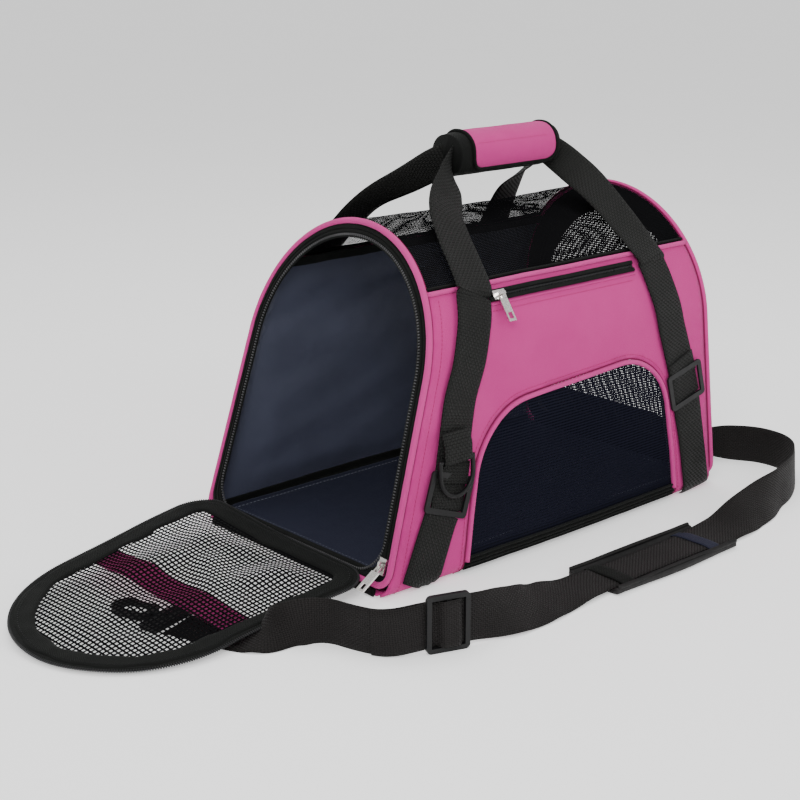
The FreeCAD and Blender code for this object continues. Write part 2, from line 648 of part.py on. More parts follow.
def oblong(width, length, thick):
    """Plate with round ends, from the origin towards -Y."""
    r = width / 2
    plate = box((-r, r - length, -thick / 2), (r, -r, thick / 2))
    ends = [Part.makeCylinder(r, thick, Vector(0, y, -thick / 2)) for y in (-r, r - length)]
    return fuse([plate] + ends)


def snap_hook():
    """Snap hook in XY: jaw tip at the origin, then swivel post, and strap eye towards -Y."""
    hole = oblong(JAW_W - 2 * JAW_BAR, JAW_L - 2 * JAW_BAR, HOOK_T + 2)
    hole.translate(Vector(0, -JAW_BAR, 0))
    side_x = JAW_W / 2 - JAW_BAR
    gate_room = box((side_x - 0.5, -29.5, -4), (JAW_W / 2 + 1, -12.5, 4))
    post = Part.makeCylinder(3, POST_L, Vector(0, 0.5 - JAW_L, 0), Vector(0, -1, 0))
    body = fuse([oblong(JAW_W, JAW_L, HOOK_T).cut(hole).cut(gate_room), post])
    gate = box((side_x + 0.5, -28.0, -2), (JAW_W / 2 - 1.0, -13.2, 2))
    top = -JAW_L - 4.0
    eye = box((-EYE_W / 2, top - EYE_L, -2.4), (EYE_W / 2, top, 2.4))
    eye = eye.cut(box((4 - EYE_W / 2, top - EYE_L + 4, -4), (EYE_W / 2 - 4, top - 6.5, 4)))
    return body, gate, eye.cut(Part.makeCylinder(3.06, 20, Vector(0, 2 - JAW_L, 0), Vector(0, -1, 0)))


def back_hook_top():
    """Tip of the back hook's jaw, which hangs on the raised far D-ring."""
    y, z, lean = surface(D_BACK[1], D_RING_OUT)
    drop = D_RING_LEG + D_RING_R
    swing = math.radians(D_BACK_LIFT) + lean
    return Vector(D_BACK[0], drop * math.sin(swing) - y,
                  z - drop * math.cos(swing) + JAW_BAR + D_RING_BAR / 2 + 0.6)


def make_hooks():
    """The free front hook lies under the door; the back hook hangs on the far D-ring."""
    places = {"front": FreeCAD.Placement(Vector(*FRONT_HOOK, STRAP_Z + WEB_T + 2.6),
                                         FreeCAD.Rotation(Vector(0, 0, 1), FRONT_HOOK_TURN)),
              "back": FreeCAD.Placement(back_hook_top(), FreeCAD.Rotation(
                  Vector(0, 1, 0), Vector(0, 0, 1), Vector(1, 0, 0), "ZXY"))}
    for name, place in places.items():
        for part, solid in zip(("body", "gate", "eye"), snap_hook()):
            solid.Placement = place.multiply(solid.Placement)
            save("hook_%s_%s" % (part, name), solid)
        pivot = place.multVec(Vector(JAW_W / 2 - 3, -28.0, 0))
        print("hook gate pivot", name, [round(v, 3) for v in pivot])
    print("back hook tip", [round(v, 2) for v in back_hook_top()])


make_base()
make_sides()
make_arch_trim()
make_doors()
make_webbing()
make_grip()
make_d_rings()
make_pocket_zip()
make_door_sliders()
make_strap()
make_pad_and_adjuster()
make_hooks()
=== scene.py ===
"""Soft pet carrier bag: cloth, mesh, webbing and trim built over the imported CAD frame."""
from math import acos, asin, atan, copysign, cos, exp, hypot, pi, radians, sin, sqrt, tan

import bpy
import numpy as np
from mathutils import Matrix, Vector, noise
from mathutils.geometry import delaunay_2d_cdt


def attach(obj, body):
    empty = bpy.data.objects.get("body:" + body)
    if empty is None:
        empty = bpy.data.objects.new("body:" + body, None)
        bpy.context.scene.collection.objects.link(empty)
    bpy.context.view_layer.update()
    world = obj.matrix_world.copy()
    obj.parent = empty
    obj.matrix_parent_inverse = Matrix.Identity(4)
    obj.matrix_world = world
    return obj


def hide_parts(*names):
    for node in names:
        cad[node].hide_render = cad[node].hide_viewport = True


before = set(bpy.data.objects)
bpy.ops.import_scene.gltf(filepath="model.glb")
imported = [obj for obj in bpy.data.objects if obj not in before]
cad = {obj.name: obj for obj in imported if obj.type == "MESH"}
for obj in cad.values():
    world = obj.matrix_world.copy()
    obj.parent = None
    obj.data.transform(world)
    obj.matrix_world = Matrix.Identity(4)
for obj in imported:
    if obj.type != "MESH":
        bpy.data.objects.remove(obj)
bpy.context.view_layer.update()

MM = 0.001

# ---- the bag's sizes, in millimetres, as in part.py ----
LENGTH, HEIGHT, TOP_R = 430.0, 286.0, 117.5
TAPER = atan(0.05)
FRONT_LEAN, BACK_LEAN = 0.302, 0.083
FRONT_ANGLE, BACK_ANGLE = atan(FRONT_LEAN), atan(BACK_LEAN)
CORNER = 12.0
SEAM_Z = 240.0
CROWN_Z = HEIGHT - TOP_R
ARC = TOP_R * (pi / 2 - TAPER)
WALL_END_Y = (TOP_R - CORNER - (CORNER - CROWN_Z) * sin(TAPER)) / cos(TAPER)
WALL = ((CROWN_Z + TOP_R * sin(TAPER)) - (CORNER + CORNER * sin(TAPER))) / cos(TAPER)
TURN = CORNER * (pi / 2 + TAPER)
WEB_W, WEB_T = 38.0, 1.4
DOOR_INSET, DOOR_BOTTOM, DOOR_CORNER = 15.0, 18.5, 30.0
DOOR_OUT = 2.3
HINGE = Vector((-211.609, -85.0, 17.8))
HINGE_AXIS = Vector((-0.0523, 0.9986, 0.0)).normalized()
DOOR_OPEN = radians(109.8)
PIPE_R = 2.8
PIPE_SET_BACK = 1.0     # on the far side; at 2.4 the steel wire inside comes out of the pipe
MAT_HALF, MAT_BORDER, MAT_ROLL, MAT_SEAM_Y = 118, 12, 7, 106
POCKET_X0, POCKET_X1, POCKET_TAPE_Z, POCKET_TEETH_Z = -76.0, 109.0, 229.2, 228.9
GX0, GX1, GZ = -28.0, 97.0, 332.5       # the grip: its two ends and its middle height
GRIP_RY, GRIP_RZ, GRIP_PANEL_R = 19.7, 18.9, 19.3
TAB_HALF, TAB_BEND = 15.6, 2.9
PX0, PX1, PY, PAD_HALF = -63.0, 96.0, -217.0, 28.5      # the shoulder pad
FLOOR_HALF = 30


def smooth(t):
    t = max(0.0, min(1.0, t))
    return t * t * (3 - 2 * t)


def wobble(x, y, z, size):
    """Smooth noise from -1 to 1 with features about this many millimetres across."""
    return noise.noise(Vector((x / size, y / size, z / size)))


def front_x(depth, z):
    return -LENGTH / 2 + depth / cos(FRONT_ANGLE) + FRONT_LEAN * z


def back_x(depth, z):
    return LENGTH / 2 - depth / cos(BACK_ANGLE) - BACK_LEAN * z


def outward_of(x_of):
    """Direction an end of the bag faces."""
    if x_of is front_x:
        return Vector((-cos(FRONT_ANGLE), 0, sin(FRONT_ANGLE)))
    return Vector((cos(BACK_ANGLE), 0, sin(BACK_ANGLE)))


def heading(points, i):
    """Direction of an open line of Vectors at one of its points."""
    return (points[min(i + 1, len(points) - 1)] - points[max(i - 1, 0)]).normalized()


def spread(a, b, count):
    """Evenly spaced values from a to b."""
    return [a + (b - a) * i / count for i in range(count + 1)]


# ---- the bag's skin: x along the bag, s round it from the crown, near side negative ----
def profile(s, out):
    """Y, Z and the outward direction (ny, nz) at this distance round the bag."""
    a, sign = abs(s), (-1 if s < 0 else 1)
    if a <= ARC:
        angle = a / TOP_R
        ny, nz = sin(angle), cos(angle)
        y, z = (TOP_R + out) * ny, CROWN_Z + (TOP_R + out) * nz
    elif a <= ARC + WALL:
        run = a - ARC
        ny, nz = cos(TAPER), sin(TAPER)
        y = (TOP_R + out) * ny + run * nz
        z = CROWN_Z + (TOP_R + out) * nz - run * ny
    else:
        angle = TAPER - min(a - ARC - WALL, TURN) / CORNER
        ny, nz = cos(angle), sin(angle)
        y, z = WALL_END_Y + (CORNER + out) * ny, CORNER + (CORNER + out) * nz
        y -= max(0.0, a - ARC - WALL - TURN)
    return sign * y, z, sign * ny, nz


def s_at(z):
    """Distance round the bag from the crown to this height."""
    if z >= CROWN_Z + TOP_R * sin(TAPER):
        return TOP_R * acos(max(-1.0, min(1.0, (z - CROWN_Z) / TOP_R)))
    low = CORNER + CORNER * sin(TAPER)
    if z >= low:
        return ARC + (CROWN_Z + TOP_R * sin(TAPER) - z) / cos(TAPER)
    return ARC + WALL + CORNER * (TAPER + asin(min(1.0, (CORNER - z) / CORNER)))


SEAM_S = s_at(SEAM_Z)
SIDES = ((-1, "near"), (1, "far"))


def swell(x, s):
    """How far the soft wall stands off its drawn line: a low belly, a sagging roof, small waves."""
    _, z, _, _ = profile(s, 0)
    low, high = front_x(4, z), back_x(4, z)
    t = max(0.0, min(1.0, (x - low) / (high - low)))
    tied = smooth(t * 9) * smooth((1 - t) * 9)
    belly = 5.5 * sin(pi * t) * smooth((165 - z) / 165) if abs(s) > 120 else 0.0
    sag = -2.6 * sin(pi * t) * smooth((SEAM_S - abs(s)) / SEAM_S) if abs(s) < SEAM_S else 0.0
    return belly + sag + tied * (0.9 * wobble(x, s, 3, 55) + 0.45 * wobble(x, s, 9, 21))


def skin(x, s, out=0.0):
    """Point of the bag's surface."""
    y, z, ny, nz = profile(s, out)
    push = swell(x, s)
    return Vector((x, y + push * ny, z + push * max(0.0, nz)))


def skin_normal(s):
    _, _, ny, nz = profile(s, 0)
    return Vector((0, ny, nz))


# ---- outlines ----
def arch_line(inset, bottom, corner, step=4.0):
    """Closed outline of the arch in (y, z): bottom left to right, up, over the top, and down."""
    top = TOP_R - inset
    c, s = cos(TAPER), sin(TAPER)
    low = bottom + corner
    flat = (top - corner - (low - CROWN_Z) * s) / c
    half = []
    for i in range(max(2, int(flat / step)) + 1):
        half.append((flat * i / max(2, int(flat / step)), bottom))
    count = max(3, int(corner * 1.6 / step))
    for i in range(1, count + 1):
        a = -pi / 2 + (pi / 2 + TAPER) * i / count
        half.append((flat + corner * cos(a), low + corner * sin(a)))
    y0, z0 = half[-1]
    y1, z1 = top * c, CROWN_Z + top * s
    count = max(2, int(hypot(y1 - y0, z1 - z0) / step))
    half += [(y0 + (y1 - y0) * i / count, z0 + (z1 - z0) * i / count) for i in range(1, count + 1)]
    count = max(4, int(top * 1.6 / step))
    for i in range(1, count + 1):
        a = TAPER + (pi / 2 - TAPER) * i / count
        half.append((top * cos(a), CROWN_Z + top * sin(a)))
    left = [(-y, z) for y, z in half[1:-1]]
    return half + left[::-1]


def rounded_line(points, radii, step=4.0):
    """Open outline through these points with rounded corners, as (x, z)."""
    line = [Vector(points[0])]
    for a, b, c, r in zip(points, points[1:], points[2:], radii):
        a, b, c = Vector(a), Vector(b), Vector(c)
        u, v = (a - b).normalized(), (c - b).normalized()
        half = u.angle(v) / 2
        cut = r / tan(half)
        centre = b + (u + v).normalized() * (r / sin(half))
        p, q = b + u * cut - centre, b + v * cut - centre
        turn = pi - 2 * half
        sign = 1 if p.x * q.y - p.y * q.x > 0 else -1
        count = max(3, int(r * turn / step))
        for i in range(count + 1):
            k = sign * turn * i / count
            line.append(centre + Vector((p.x * cos(k) - p.y * sin(k),
                                         p.x * sin(k) + p.y * cos(k))))
    line.append(Vector(points[-1]))
    dense = []
    for a, b in zip(line, line[1:]):
        count = max(1, int((b - a).length / step))
        dense += [tuple(a.lerp(b, i / count)) for i in range(count)]
    return dense + [tuple(line[-1])]


def window_line(grow, low=0.0, step=4.0):
    """Side window outline in (x, z), from the front bottom over to the back bottom."""
    (x0, _), (x1, z1), (x2, z2), (x3, _) = (-124, 0), (-96, 134), (134, 147), (151, 0)
    points = [(x0 - grow + (x1 - x0) * low / z1, low), (x1 - grow, z1 + grow), (x2 + grow, z2 + grow),
              (x3 + grow + (x2 - x3) * low / z2, low)]
    return rounded_line(points, [70 + grow, 60 + grow], step)


def march(points, step, closed=False):
    """Evenly spaced (point, direction) along a line of Vectors."""
    pts = list(points) + ([points[0]] if closed else [])
    out, need = [], 0.0
    for a, b in zip(pts, pts[1:]):
        length = (b - a).length
        if length < 1e-9:
            continue
        d = (b - a) / length
        while need <= length:
            out.append((a + d * need, d))
            need += step
        need -= length
    return out


def curve_through(keys, count):
    """Catmull-Rom samples through key tuples of any length."""
    keys = [np.array(k, float) for k in keys]
    pad = [2 * keys[0] - keys[1]] + keys + [2 * keys[-1] - keys[-2]]
    out = []
    for i in range(count + 1):
        u = (len(keys) - 1) * i / count
        k = min(int(u), len(keys) - 2)
        t = u - k
        a, b, c, d = pad[k:k + 4]
        out.append(0.5 * (2 * b + (c - a) * t + (2 * a - 5 * b + 4 * c - d) * t * t
                          + (3 * b - a - 3 * c + d) * t ** 3))
    return out


# ---- materials ----
class Nodes:
    """Small helper for building a material's node tree."""

    def __init__(self, name):
        self.mat = bpy.data.materials.new(name)
        self.mat.use_nodes = True
        self.tree = self.mat.node_tree
        self.shader = self.tree.nodes["Principled BSDF"]

    def add(self, kind, **settings):
        node = self.tree.nodes.new(kind)
        for key, value in settings.items():
            setattr(node, key, value)
        return node

    def link(self, a, b):
        self.tree.links.new(a, b)

    def math(self, op, a, b=None, clamp=False):
        node = self.add("ShaderNodeMath", operation=op, use_clamp=clamp)
        for socket, value in zip(node.inputs, (a, b)):
            if value is None:
                continue
            if isinstance(value, (int, float)):
                socket.default_value = value
            else:
                self.link(value, socket)
        return node.outputs[0]

    def mix(self, factor, a, b):
        node = self.add("ShaderNodeMix", data_type="RGBA")
        for index, value in ((0, factor), (6, a), (7, b)):
            if isinstance(value, (int, float)):
                node.inputs[index].default_value = value
            elif isinstance(value, tuple):
                node.inputs[index].default_value = value + (1,)
            else:
                self.link(value, node.inputs[index])
        return node.outputs[2]

    def noise(self, scale, detail=3.0, rough=0.5, coords=None):
        node = self.add("ShaderNodeTexNoise")
        node.inputs["Scale"].default_value = scale
        node.inputs["Detail"].default_value = detail
        node.inputs["Roughness"].default_value = rough
        self.link(coords or self.place(), node.inputs["Vector"])
        return node.outputs["Fac"]

    def place(self):
        """Object coordinates, in metres."""
        if not hasattr(self, "coords"):
            self.coords = self.add("ShaderNodeTexCoord")
        return self.coords.outputs["Object"]

    def flat(self):
        """Cloth coordinates in metres: along and across the threads."""
        if not hasattr(self, "uv"):
            self.uv = self.add("ShaderNodeUVMap", uv_map="weave")
        return self.uv.outputs["UV"]

    def ramp(self, value, low, high, to_low=0.0, to_high=1.0):
        node = self.add("ShaderNodeMapRange", clamp=True)
        for index, v in zip(range(1, 5), (low, high, to_low, to_high)):
            node.inputs[index].default_value = v
        self.link(value, node.inputs[0])
        return node.outputs[0]

    def weave(self, pitch_u, pitch_v):
        """Height of a plain weave: warp and weft threads cross over and under."""
        parts = self.add("ShaderNodeSeparateXYZ")
        self.link(self.flat(), parts.inputs[0])
        u = self.math("DIVIDE", parts.outputs[0], pitch_u)
        v = self.math("DIVIDE", parts.outputs[1], pitch_v)
        wave_u = self.math("ABSOLUTE", self.math("SINE", self.math("MULTIPLY", u, pi)))
        wave_v = self.math("ABSOLUTE", self.math("SINE", self.math("MULTIPLY", v, pi)))
        cells = self.math("ADD", self.math("FLOOR", u), self.math("FLOOR", v))
        over = self.math("FLOORED_MODULO", cells, 2.0)
        a = self.math("MULTIPLY", wave_u, over)
        b = self.math("MULTIPLY", wave_v, self.math("SUBTRACT", 1.0, over))
        return self.math("ADD", a, b)

    def bump(self, height, strength, distance):
        node = self.add("ShaderNodeBump")
        node.inputs["Strength"].default_value = strength
        node.inputs["Distance"].default_value = distance
        self.link(height, node.inputs["Height"])
        self.link(node.outputs[0], self.shader.inputs["Normal"])

    def set(self, **values):
        for key, value in values.items():
            self.shader.inputs[key.replace("_", " ")].default_value = value


def cloth(name, colour, dark, pitch=(0.0007, 0.0007), rough=0.8, sheen=0.3, depth=0.0003, tint=(1, 1, 1),
          worn=0.25, gap_shade=0.3, waves=0.0, shine=0.1):
    """Woven cloth: threads, slow colour change, fuzz, and painted shade darkening the gaps between the
    threads.
    """
    n = Nodes(name)
    height = n.weave(*pitch)
    slow = n.ramp(n.noise(18.0, 4.0, 0.6), 0.3, 0.7)
    fine = n.ramp(n.noise(900.0, 2.0, 0.6), 0.25, 0.75)
    body = n.mix(n.math("MULTIPLY", slow, worn), colour, dark)
    # painted shade: the colour in the gaps between threads is pulled towards the dark colour, by the
    # gap_shade amount
    gap = n.math("MULTIPLY", n.math("SUBTRACT", 1.0, height), gap_shade, True)
    thread = n.mix(gap, body, dark)
    n.link(n.mix(n.math("MULTIPLY", fine, 0.18), thread, dark), n.shader.inputs["Base Color"])
    n.link(n.ramp(slow, 0, 1, rough - 0.07, min(1.0, rough + 0.07)), n.shader.inputs["Roughness"])
    relief = n.math("ADD", height, n.math("MULTIPLY", fine, 0.35))
    if waves:
        relief = n.math("ADD", relief, n.math("MULTIPLY", n.noise(60.0, 3.0), waves))
    n.bump(relief, 0.9, depth)
    n.set(Sheen_Weight=sheen, Sheen_Roughness=0.45, Sheen_Tint=tint + (1,), Specular_IOR_Level=shine)
    return n.mat


def plastic(name, colour, dark, rough=0.4, grain=0.00006):
    n = Nodes(name)
    slow = n.ramp(n.noise(35.0, 4.0), 0.3, 0.7)
    fine = n.noise(1400.0, 2.0, 0.7)
    edge = n.ramp(n.add("ShaderNodeNewGeometry").outputs["Pointiness"], 0.52, 0.62, 0.0, 0.5)
    body = n.mix(slow, colour, dark)
    n.link(n.mix(edge, body, tuple(min(1.0, c * 1.6 + 0.004) for c in colour)), n.shader.inputs["Base Color"])
    n.link(n.ramp(n.noise(220.0, 3.0), 0.3, 0.7, rough - 0.08, rough + 0.1), n.shader.inputs["Roughness"])
    n.bump(fine, 0.5, grain)
    n.set(Specular_IOR_Level=0.2)
    return n.mat


def metal(name, colour, dark, rough=0.22):
    n = Nodes(name)
    slow = n.ramp(n.noise(160.0, 5.0, 0.65), 0.35, 0.7)
    edge = n.ramp(n.add("ShaderNodeNewGeometry").outputs["Pointiness"], 0.5, 0.6, 0.0, 0.35)
    body = n.mix(n.math("MULTIPLY", slow, 0.5), colour, dark)
    n.link(n.mix(edge, body, (0.95, 0.93, 0.9)), n.shader.inputs["Base Color"])
    n.link(n.ramp(n.noise(700.0, 3.0), 0.3, 0.7, rough - 0.06, rough + 0.12), n.shader.inputs["Roughness"])
    n.bump(n.noise(500.0, 4.0, 0.7), 0.25, 0.00004)
    n.set(Metallic=1.0)
    return n.mat


PINK = cloth("pink_oxford", (0.50, 0.034, 0.215), (0.33, 0.016, 0.125), (0.00075, 0.00075), 0.75, 0.12,
             0.00012, (1.0, 0.7, 0.85), 0.25, 0.28, 2.4)
PIPE = cloth("pink_piping_cloth", (0.54, 0.042, 0.24), (0.34, 0.02, 0.13), (0.0006, 0.0006), 0.6, 0.15,
             0.0001, (1.0, 0.75, 0.88), 0.2, 0.25)
# painted shade: a darker copy of the pink cloth, laid as thin tubes along the seam grooves beside the piping
PINK_SEAM_SHADE = cloth("pink_seam_painted_shade", (0.22, 0.012, 0.07), (0.14, 0.008, 0.05), (0.0006, 0.0006), 0.85, 0.0,
                  0.0001)
# painted highlight and shade: the webbing's light colour sits far above its dark one, so the thread tops read
# as glints and the gaps as shade
WEBBING = cloth("black_webbing_cloth", (0.0150, 0.0155, 0.0140), (0.0006, 0.0006, 0.0007), (0.0026, 0.0021),
                0.55, 0.03, 0.0007, (0.8, 0.8, 0.82), 0.2, 0.95)
# painted highlight and shade: as on the webbing, light thread tops over near-black gaps
STRAP = cloth("black_strap_cloth", (0.0150, 0.0132, 0.0128), (0.0012, 0.0011, 0.0011), (0.0020, 0.0016),
              0.62, 0.04, 0.0005, (0.8, 0.78, 0.78), 0.2, 0.9)
BINDING = cloth("black_binding_cloth", (0.0042, 0.0048, 0.0042), (0.001, 0.001, 0.0011), (0.0009, 0.0011),
                0.7, 0.03, 0.0002, (0.8, 0.85, 0.8), 0.25, 0.6)
NET = cloth("black_net_thread", (0.0060, 0.0060, 0.0066), (0.003, 0.003, 0.0034), (0.0005, 0.0005), 0.9,
            0.0, 0.00005, (0.8, 0.8, 0.85), 0.3, 0.3, 0.0, 0.0)
WINDOW_NET = cloth("window_net_thread", (0.0100, 0.0105, 0.0180), (0.005, 0.0054, 0.0095), (0.0005, 0.0005),
                   0.9, 0.0, 0.00005, (0.7, 0.75, 1.0), 0.3, 0.3, 0.0, 0.0)
LINING = cloth("navy_lining_cloth", (0.066, 0.073, 0.112), (0.028, 0.032, 0.052), (0.0006, 0.0006), 0.4,
               0.05, 0.00006, (0.7, 0.75, 1.0), 0.35, 0.15, 6.0, 0.45)
PAD_BLUE = cloth("navy_mat_cloth", (0.013, 0.0145, 0.028), (0.008, 0.009, 0.018), (0.0008, 0.0008), 0.6,
                 0.04, 0.0001, (0.7, 0.75, 1.0), 0.3, 0.3, 0.8)
THREAD_PINK = cloth("pink_thread", (0.42, 0.03, 0.14), (0.3, 0.02, 0.1), (0.0004, 0.0004), 0.6, 0.05,
                    0.00005)
THREAD_BLACK = cloth("black_thread", (0.012, 0.012, 0.013), (0.006, 0.006, 0.0066), (0.0004, 0.0004), 0.55,
                     0.05, 0.00005)
THREAD_PALE = cloth("pale_thread", (0.16, 0.17, 0.21), (0.1, 0.11, 0.13), (0.0004, 0.0004), 0.6, 0.05,
                    0.00005)
RUBBER = plastic("pad_rubber_rim", (0.0075, 0.007, 0.007), (0.004, 0.004, 0.004), 0.6, 0.0001)
# painted highlight: a lighter copy of the dark zip-tooth plastic, used on the arch half of each zip so its
# teeth read as a lit row against the black tape
TEETH_LIT = plastic("zip_tooth_painted_highlight", (0.085, 0.085, 0.088), (0.04, 0.04, 0.042), 0.32)
TEETH_DARK = plastic("zip_tooth_dark", (0.02, 0.02, 0.021), (0.01, 0.01, 0.011), 0.35)
DARK = plastic("satin_dark_plastic", (0.006, 0.006, 0.0063), (0.0035, 0.0035, 0.0037), 0.42)
NICKEL = metal("worn_nickel", (0.72, 0.69, 0.66), (0.42, 0.39, 0.37))
STEEL = metal("spring_steel", (0.5, 0.5, 0.5), (0.3, 0.3, 0.3), 0.35)
BOARD = plastic("board_plastic", (0.3, 0.3, 0.31), (0.2, 0.2, 0.21), 0.5)
FOAM = plastic("foam_core", (0.05, 0.05, 0.05), (0.03, 0.03, 0.03), 0.85, 0.0004)


# ---- mesh makers ----
def into_scene(name, data):
    obj = bpy.data.objects.new(name, data)
    bpy.context.scene.collection.objects.link(obj)
    return obj


def make(name, parts, material, nodes=(), body="bag"):
    """Object from (points in millimetres, faces, one (along, across) pair per face corner)."""
    verts, faces, uvs = parts
    mesh = bpy.data.meshes.new(name)
    mesh.from_pydata([tuple(c * MM for c in v) for v in verts], [], faces)
    layer = mesh.uv_layers.new(name="weave")
    layer.data.foreach_set("uv", np.array(uvs, dtype=np.float32).ravel() * MM)
    mesh.polygons.foreach_set("use_smooth", [True] * len(mesh.polygons))
    mesh.materials.append(material)
    obj = into_scene(name, mesh)
    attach(obj, body)
    if nodes:
        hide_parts(*nodes)
    return obj


def grid(rows, us, vs, wrap=False, ends=False, loop=False):
    """Faces over rows of points. wrap joins the last column to the first, loop the last row."""
    n, m = len(rows), len(rows[0])
    verts = [p for row in rows for p in row]
    faces, uvs = [], []
    for i in range(n if loop else n - 1):
        j = (i + 1) % n
        for k in range(m if wrap else m - 1):
            l = (k + 1) % m
            faces.append((i * m + k, j * m + k, j * m + l, i * m + l))
            uvs += [(us[i], vs[k]), (us[i + 1], vs[k]), (us[i + 1], vs[k + 1]), (us[i], vs[k + 1])]
    if ends:
        for i, order in ((0, range(m)), (n - 1, range(m - 1, -1, -1))):
            faces.append(tuple(i * m + k for k in order))
            uvs += [(us[i], vs[k]) for k in order]
    return verts, faces, uvs


def distances(points, closed=False):
    out = [0.0]
    for a, b in zip(points, points[1:] + (points[:1] if closed else [])):
        out.append(out[-1] + (Vector(b) - Vector(a)).length)
    return out


def slab_rows(n, across, place, thick, edge=0.5):
    """Rows round a flat strap: place(i, f) gives (point, outward) for f from -1 to 1."""
    rows = []
    for i in range(n):
        top, low = [], []
        for k in range(across + 1):
            f = 2 * k / across - 1
            p, outward = place(i, f)
            t = thick(i, f) if callable(thick) else thick * (1 - edge * abs(f) ** 8)
            top.append(p + outward * t / 2)
            low.append(p - outward * t / 2)
        rows.append(top + low[::-1])
    return rows


def strap(name, n, across, place, thick, width, material, nodes=(), body="bag", loop=False,
          edge=0.5):
    """Flat band of n rows: place(i, f) gives (point, outward) for f from -1 to 1 across it."""
    rows = slab_rows(n, across, place, thick, edge)
    line = [(row[across // 2] + row[-1 - across // 2]) / 2 for row in rows]
    us = distances(line, loop)
    half = [width * k / across for k in range(across + 1)]
    vs = half + half[::-1] + [0]
    parts = grid(rows, us, vs, wrap=True, ends=not loop, loop=loop)
    return make(name, parts, material, nodes, body)


def on_skin(name, path, width, out, thick, material, nodes=(), ripple=0.0):
    """Strap lying on the bag: path is (x, s) points, evenly spaced."""
    pts = [Vector(p[:2]) for p in path]

    def place(i, f):
        d = heading(pts, i)
        c = pts[i] + Vector((-d.y, d.x)) * (f * width / 2)
        wave = ripple * wobble(c.x, c.y, 5, 14)
        q = skin(c.x, c.y, out + thick / 2 + wave)
        q.z = max(q.z, thick / 2 + 0.2)
        return q, skin_normal(c.y)

    return strap(name, len(pts), 8, place, thick, width, material, nodes)


def tube_parts(points, radius, sides=8, closed=False, flat=1.0, up=None):
    """Tube through points; radius may be a function of the index."""
    n = len(points)
    rows = []
    side = None
    for i, p in enumerate(points):
        a = points[(i - 1) % n] if closed or i else p
        b = points[(i + 1) % n] if closed or i < n - 1 else p
        d = (b - a).normalized()
        if up is not None:
            side = d.cross(up(i)).normalized()
        elif side is None:
            side = d.orthogonal().normalized()
        else:
            side = (side - d * side.dot(d)).normalized()
        other = d.cross(side)
        r = radius(i) if callable(radius) else radius
        rows.append([p + side * (cos(t) * r) + other * (sin(t) * r * flat)
                     for t in (2 * pi * k / sides for k in range(sides))])
    us = distances(points, closed)
    vs = [k * 2.0 for k in range(sides + 1)]
    return grid(rows, us, vs, wrap=True, ends=not closed, loop=closed)


def join(parts):
    """Several (verts, faces, uvs) as one."""
    verts, faces, uvs = [], [], []
    for v, f, u in parts:
        base = len(verts)
        verts += list(v)
        faces += [tuple(i + base for i in face) for face in f]
        uvs += list(u)
    return verts, faces, uvs


def stitches(places, length=2.6, radius=0.32):
    """A row of thread stitches at (point, direction, outward)."""
    parts = []
    for p, d, n in places:
        side = d.cross(n).normalized()
        verts = [p - d * length / 2 - n * radius * 0.5]
        for t in (-0.28, 0.28):
            verts += [p + d * length * t + side * radius, p + d * length * t + n * radius,
                      p + d * length * t - side * radius, p + d * length * t - n * radius]
        verts.append(p + d * length / 2 - n * radius * 0.5)
        faces = [(0, 1 + k, 1 + (k + 1) % 4) for k in range(4)]
        faces += [(1 + k, 5 + k, 5 + (k + 1) % 4, 1 + (k + 1) % 4) for k in range(4)]
        faces += [(9, 5 + (k + 1) % 4, 5 + k) for k in range(4)]
        parts.append((verts, faces, [(i * 0.4, i * 0.3) for face in faces for i in face]))
    return join(parts)


def skin_stitches(path, out, pitch=3.6, length=2.6):
    """Stitches on the bag along (x, s) points."""
    places = []
    for p, d in march([Vector(q[:2]) for q in path], pitch):
        a, b = skin(p.x, p.y, out), skin(p.x + d.x, p.y + d.y, out)
        places.append((a, (b - a).normalized(), skin_normal(p.y)))
    return stitches(places, length)


def teeth(places, along=1.2, wide=2.6, high=1.3):
    """Zip teeth: small tapered blocks at (point, direction, across, outward)."""
    parts = []
    for p, d, a, n in places:
        verts = []
        for h, k in ((-high / 2, 1.0), (high / 2, 0.72)):
            verts += [p + d * (sx * along / 2 * k) + a * (sy * wide / 2 * k) + n * h
                      for sx, sy in ((-1, -1), (1, -1), (1, 1), (-1, 1))]
        faces = [(3, 2, 1, 0), (4, 5, 6, 7), (0, 1, 5, 4), (1, 2, 6, 5), (2, 3, 7, 6), (3, 0, 4, 7)]
        parts.append((verts, faces, [(i * 0.3, i * 0.2) for face in faces for i in face]))
    return join(parts)


def inside(points, loop):
    """Which of the points (an n by 2 array) lie inside a closed outline."""
    loop = np.array(loop, float)
    x, y = points[:, 0], points[:, 1]
    odd = np.zeros(len(points), bool)
    for (x0, y0), (x1, y1) in zip(loop, np.roll(loop, -1, axis=0)):
        if y0 == y1:
            continue
        cross = (y0 > y) != (y1 > y)
        odd ^= cross & (x < (x1 - x0) * (y - y0) / (y1 - y0) + x0)
    return odd


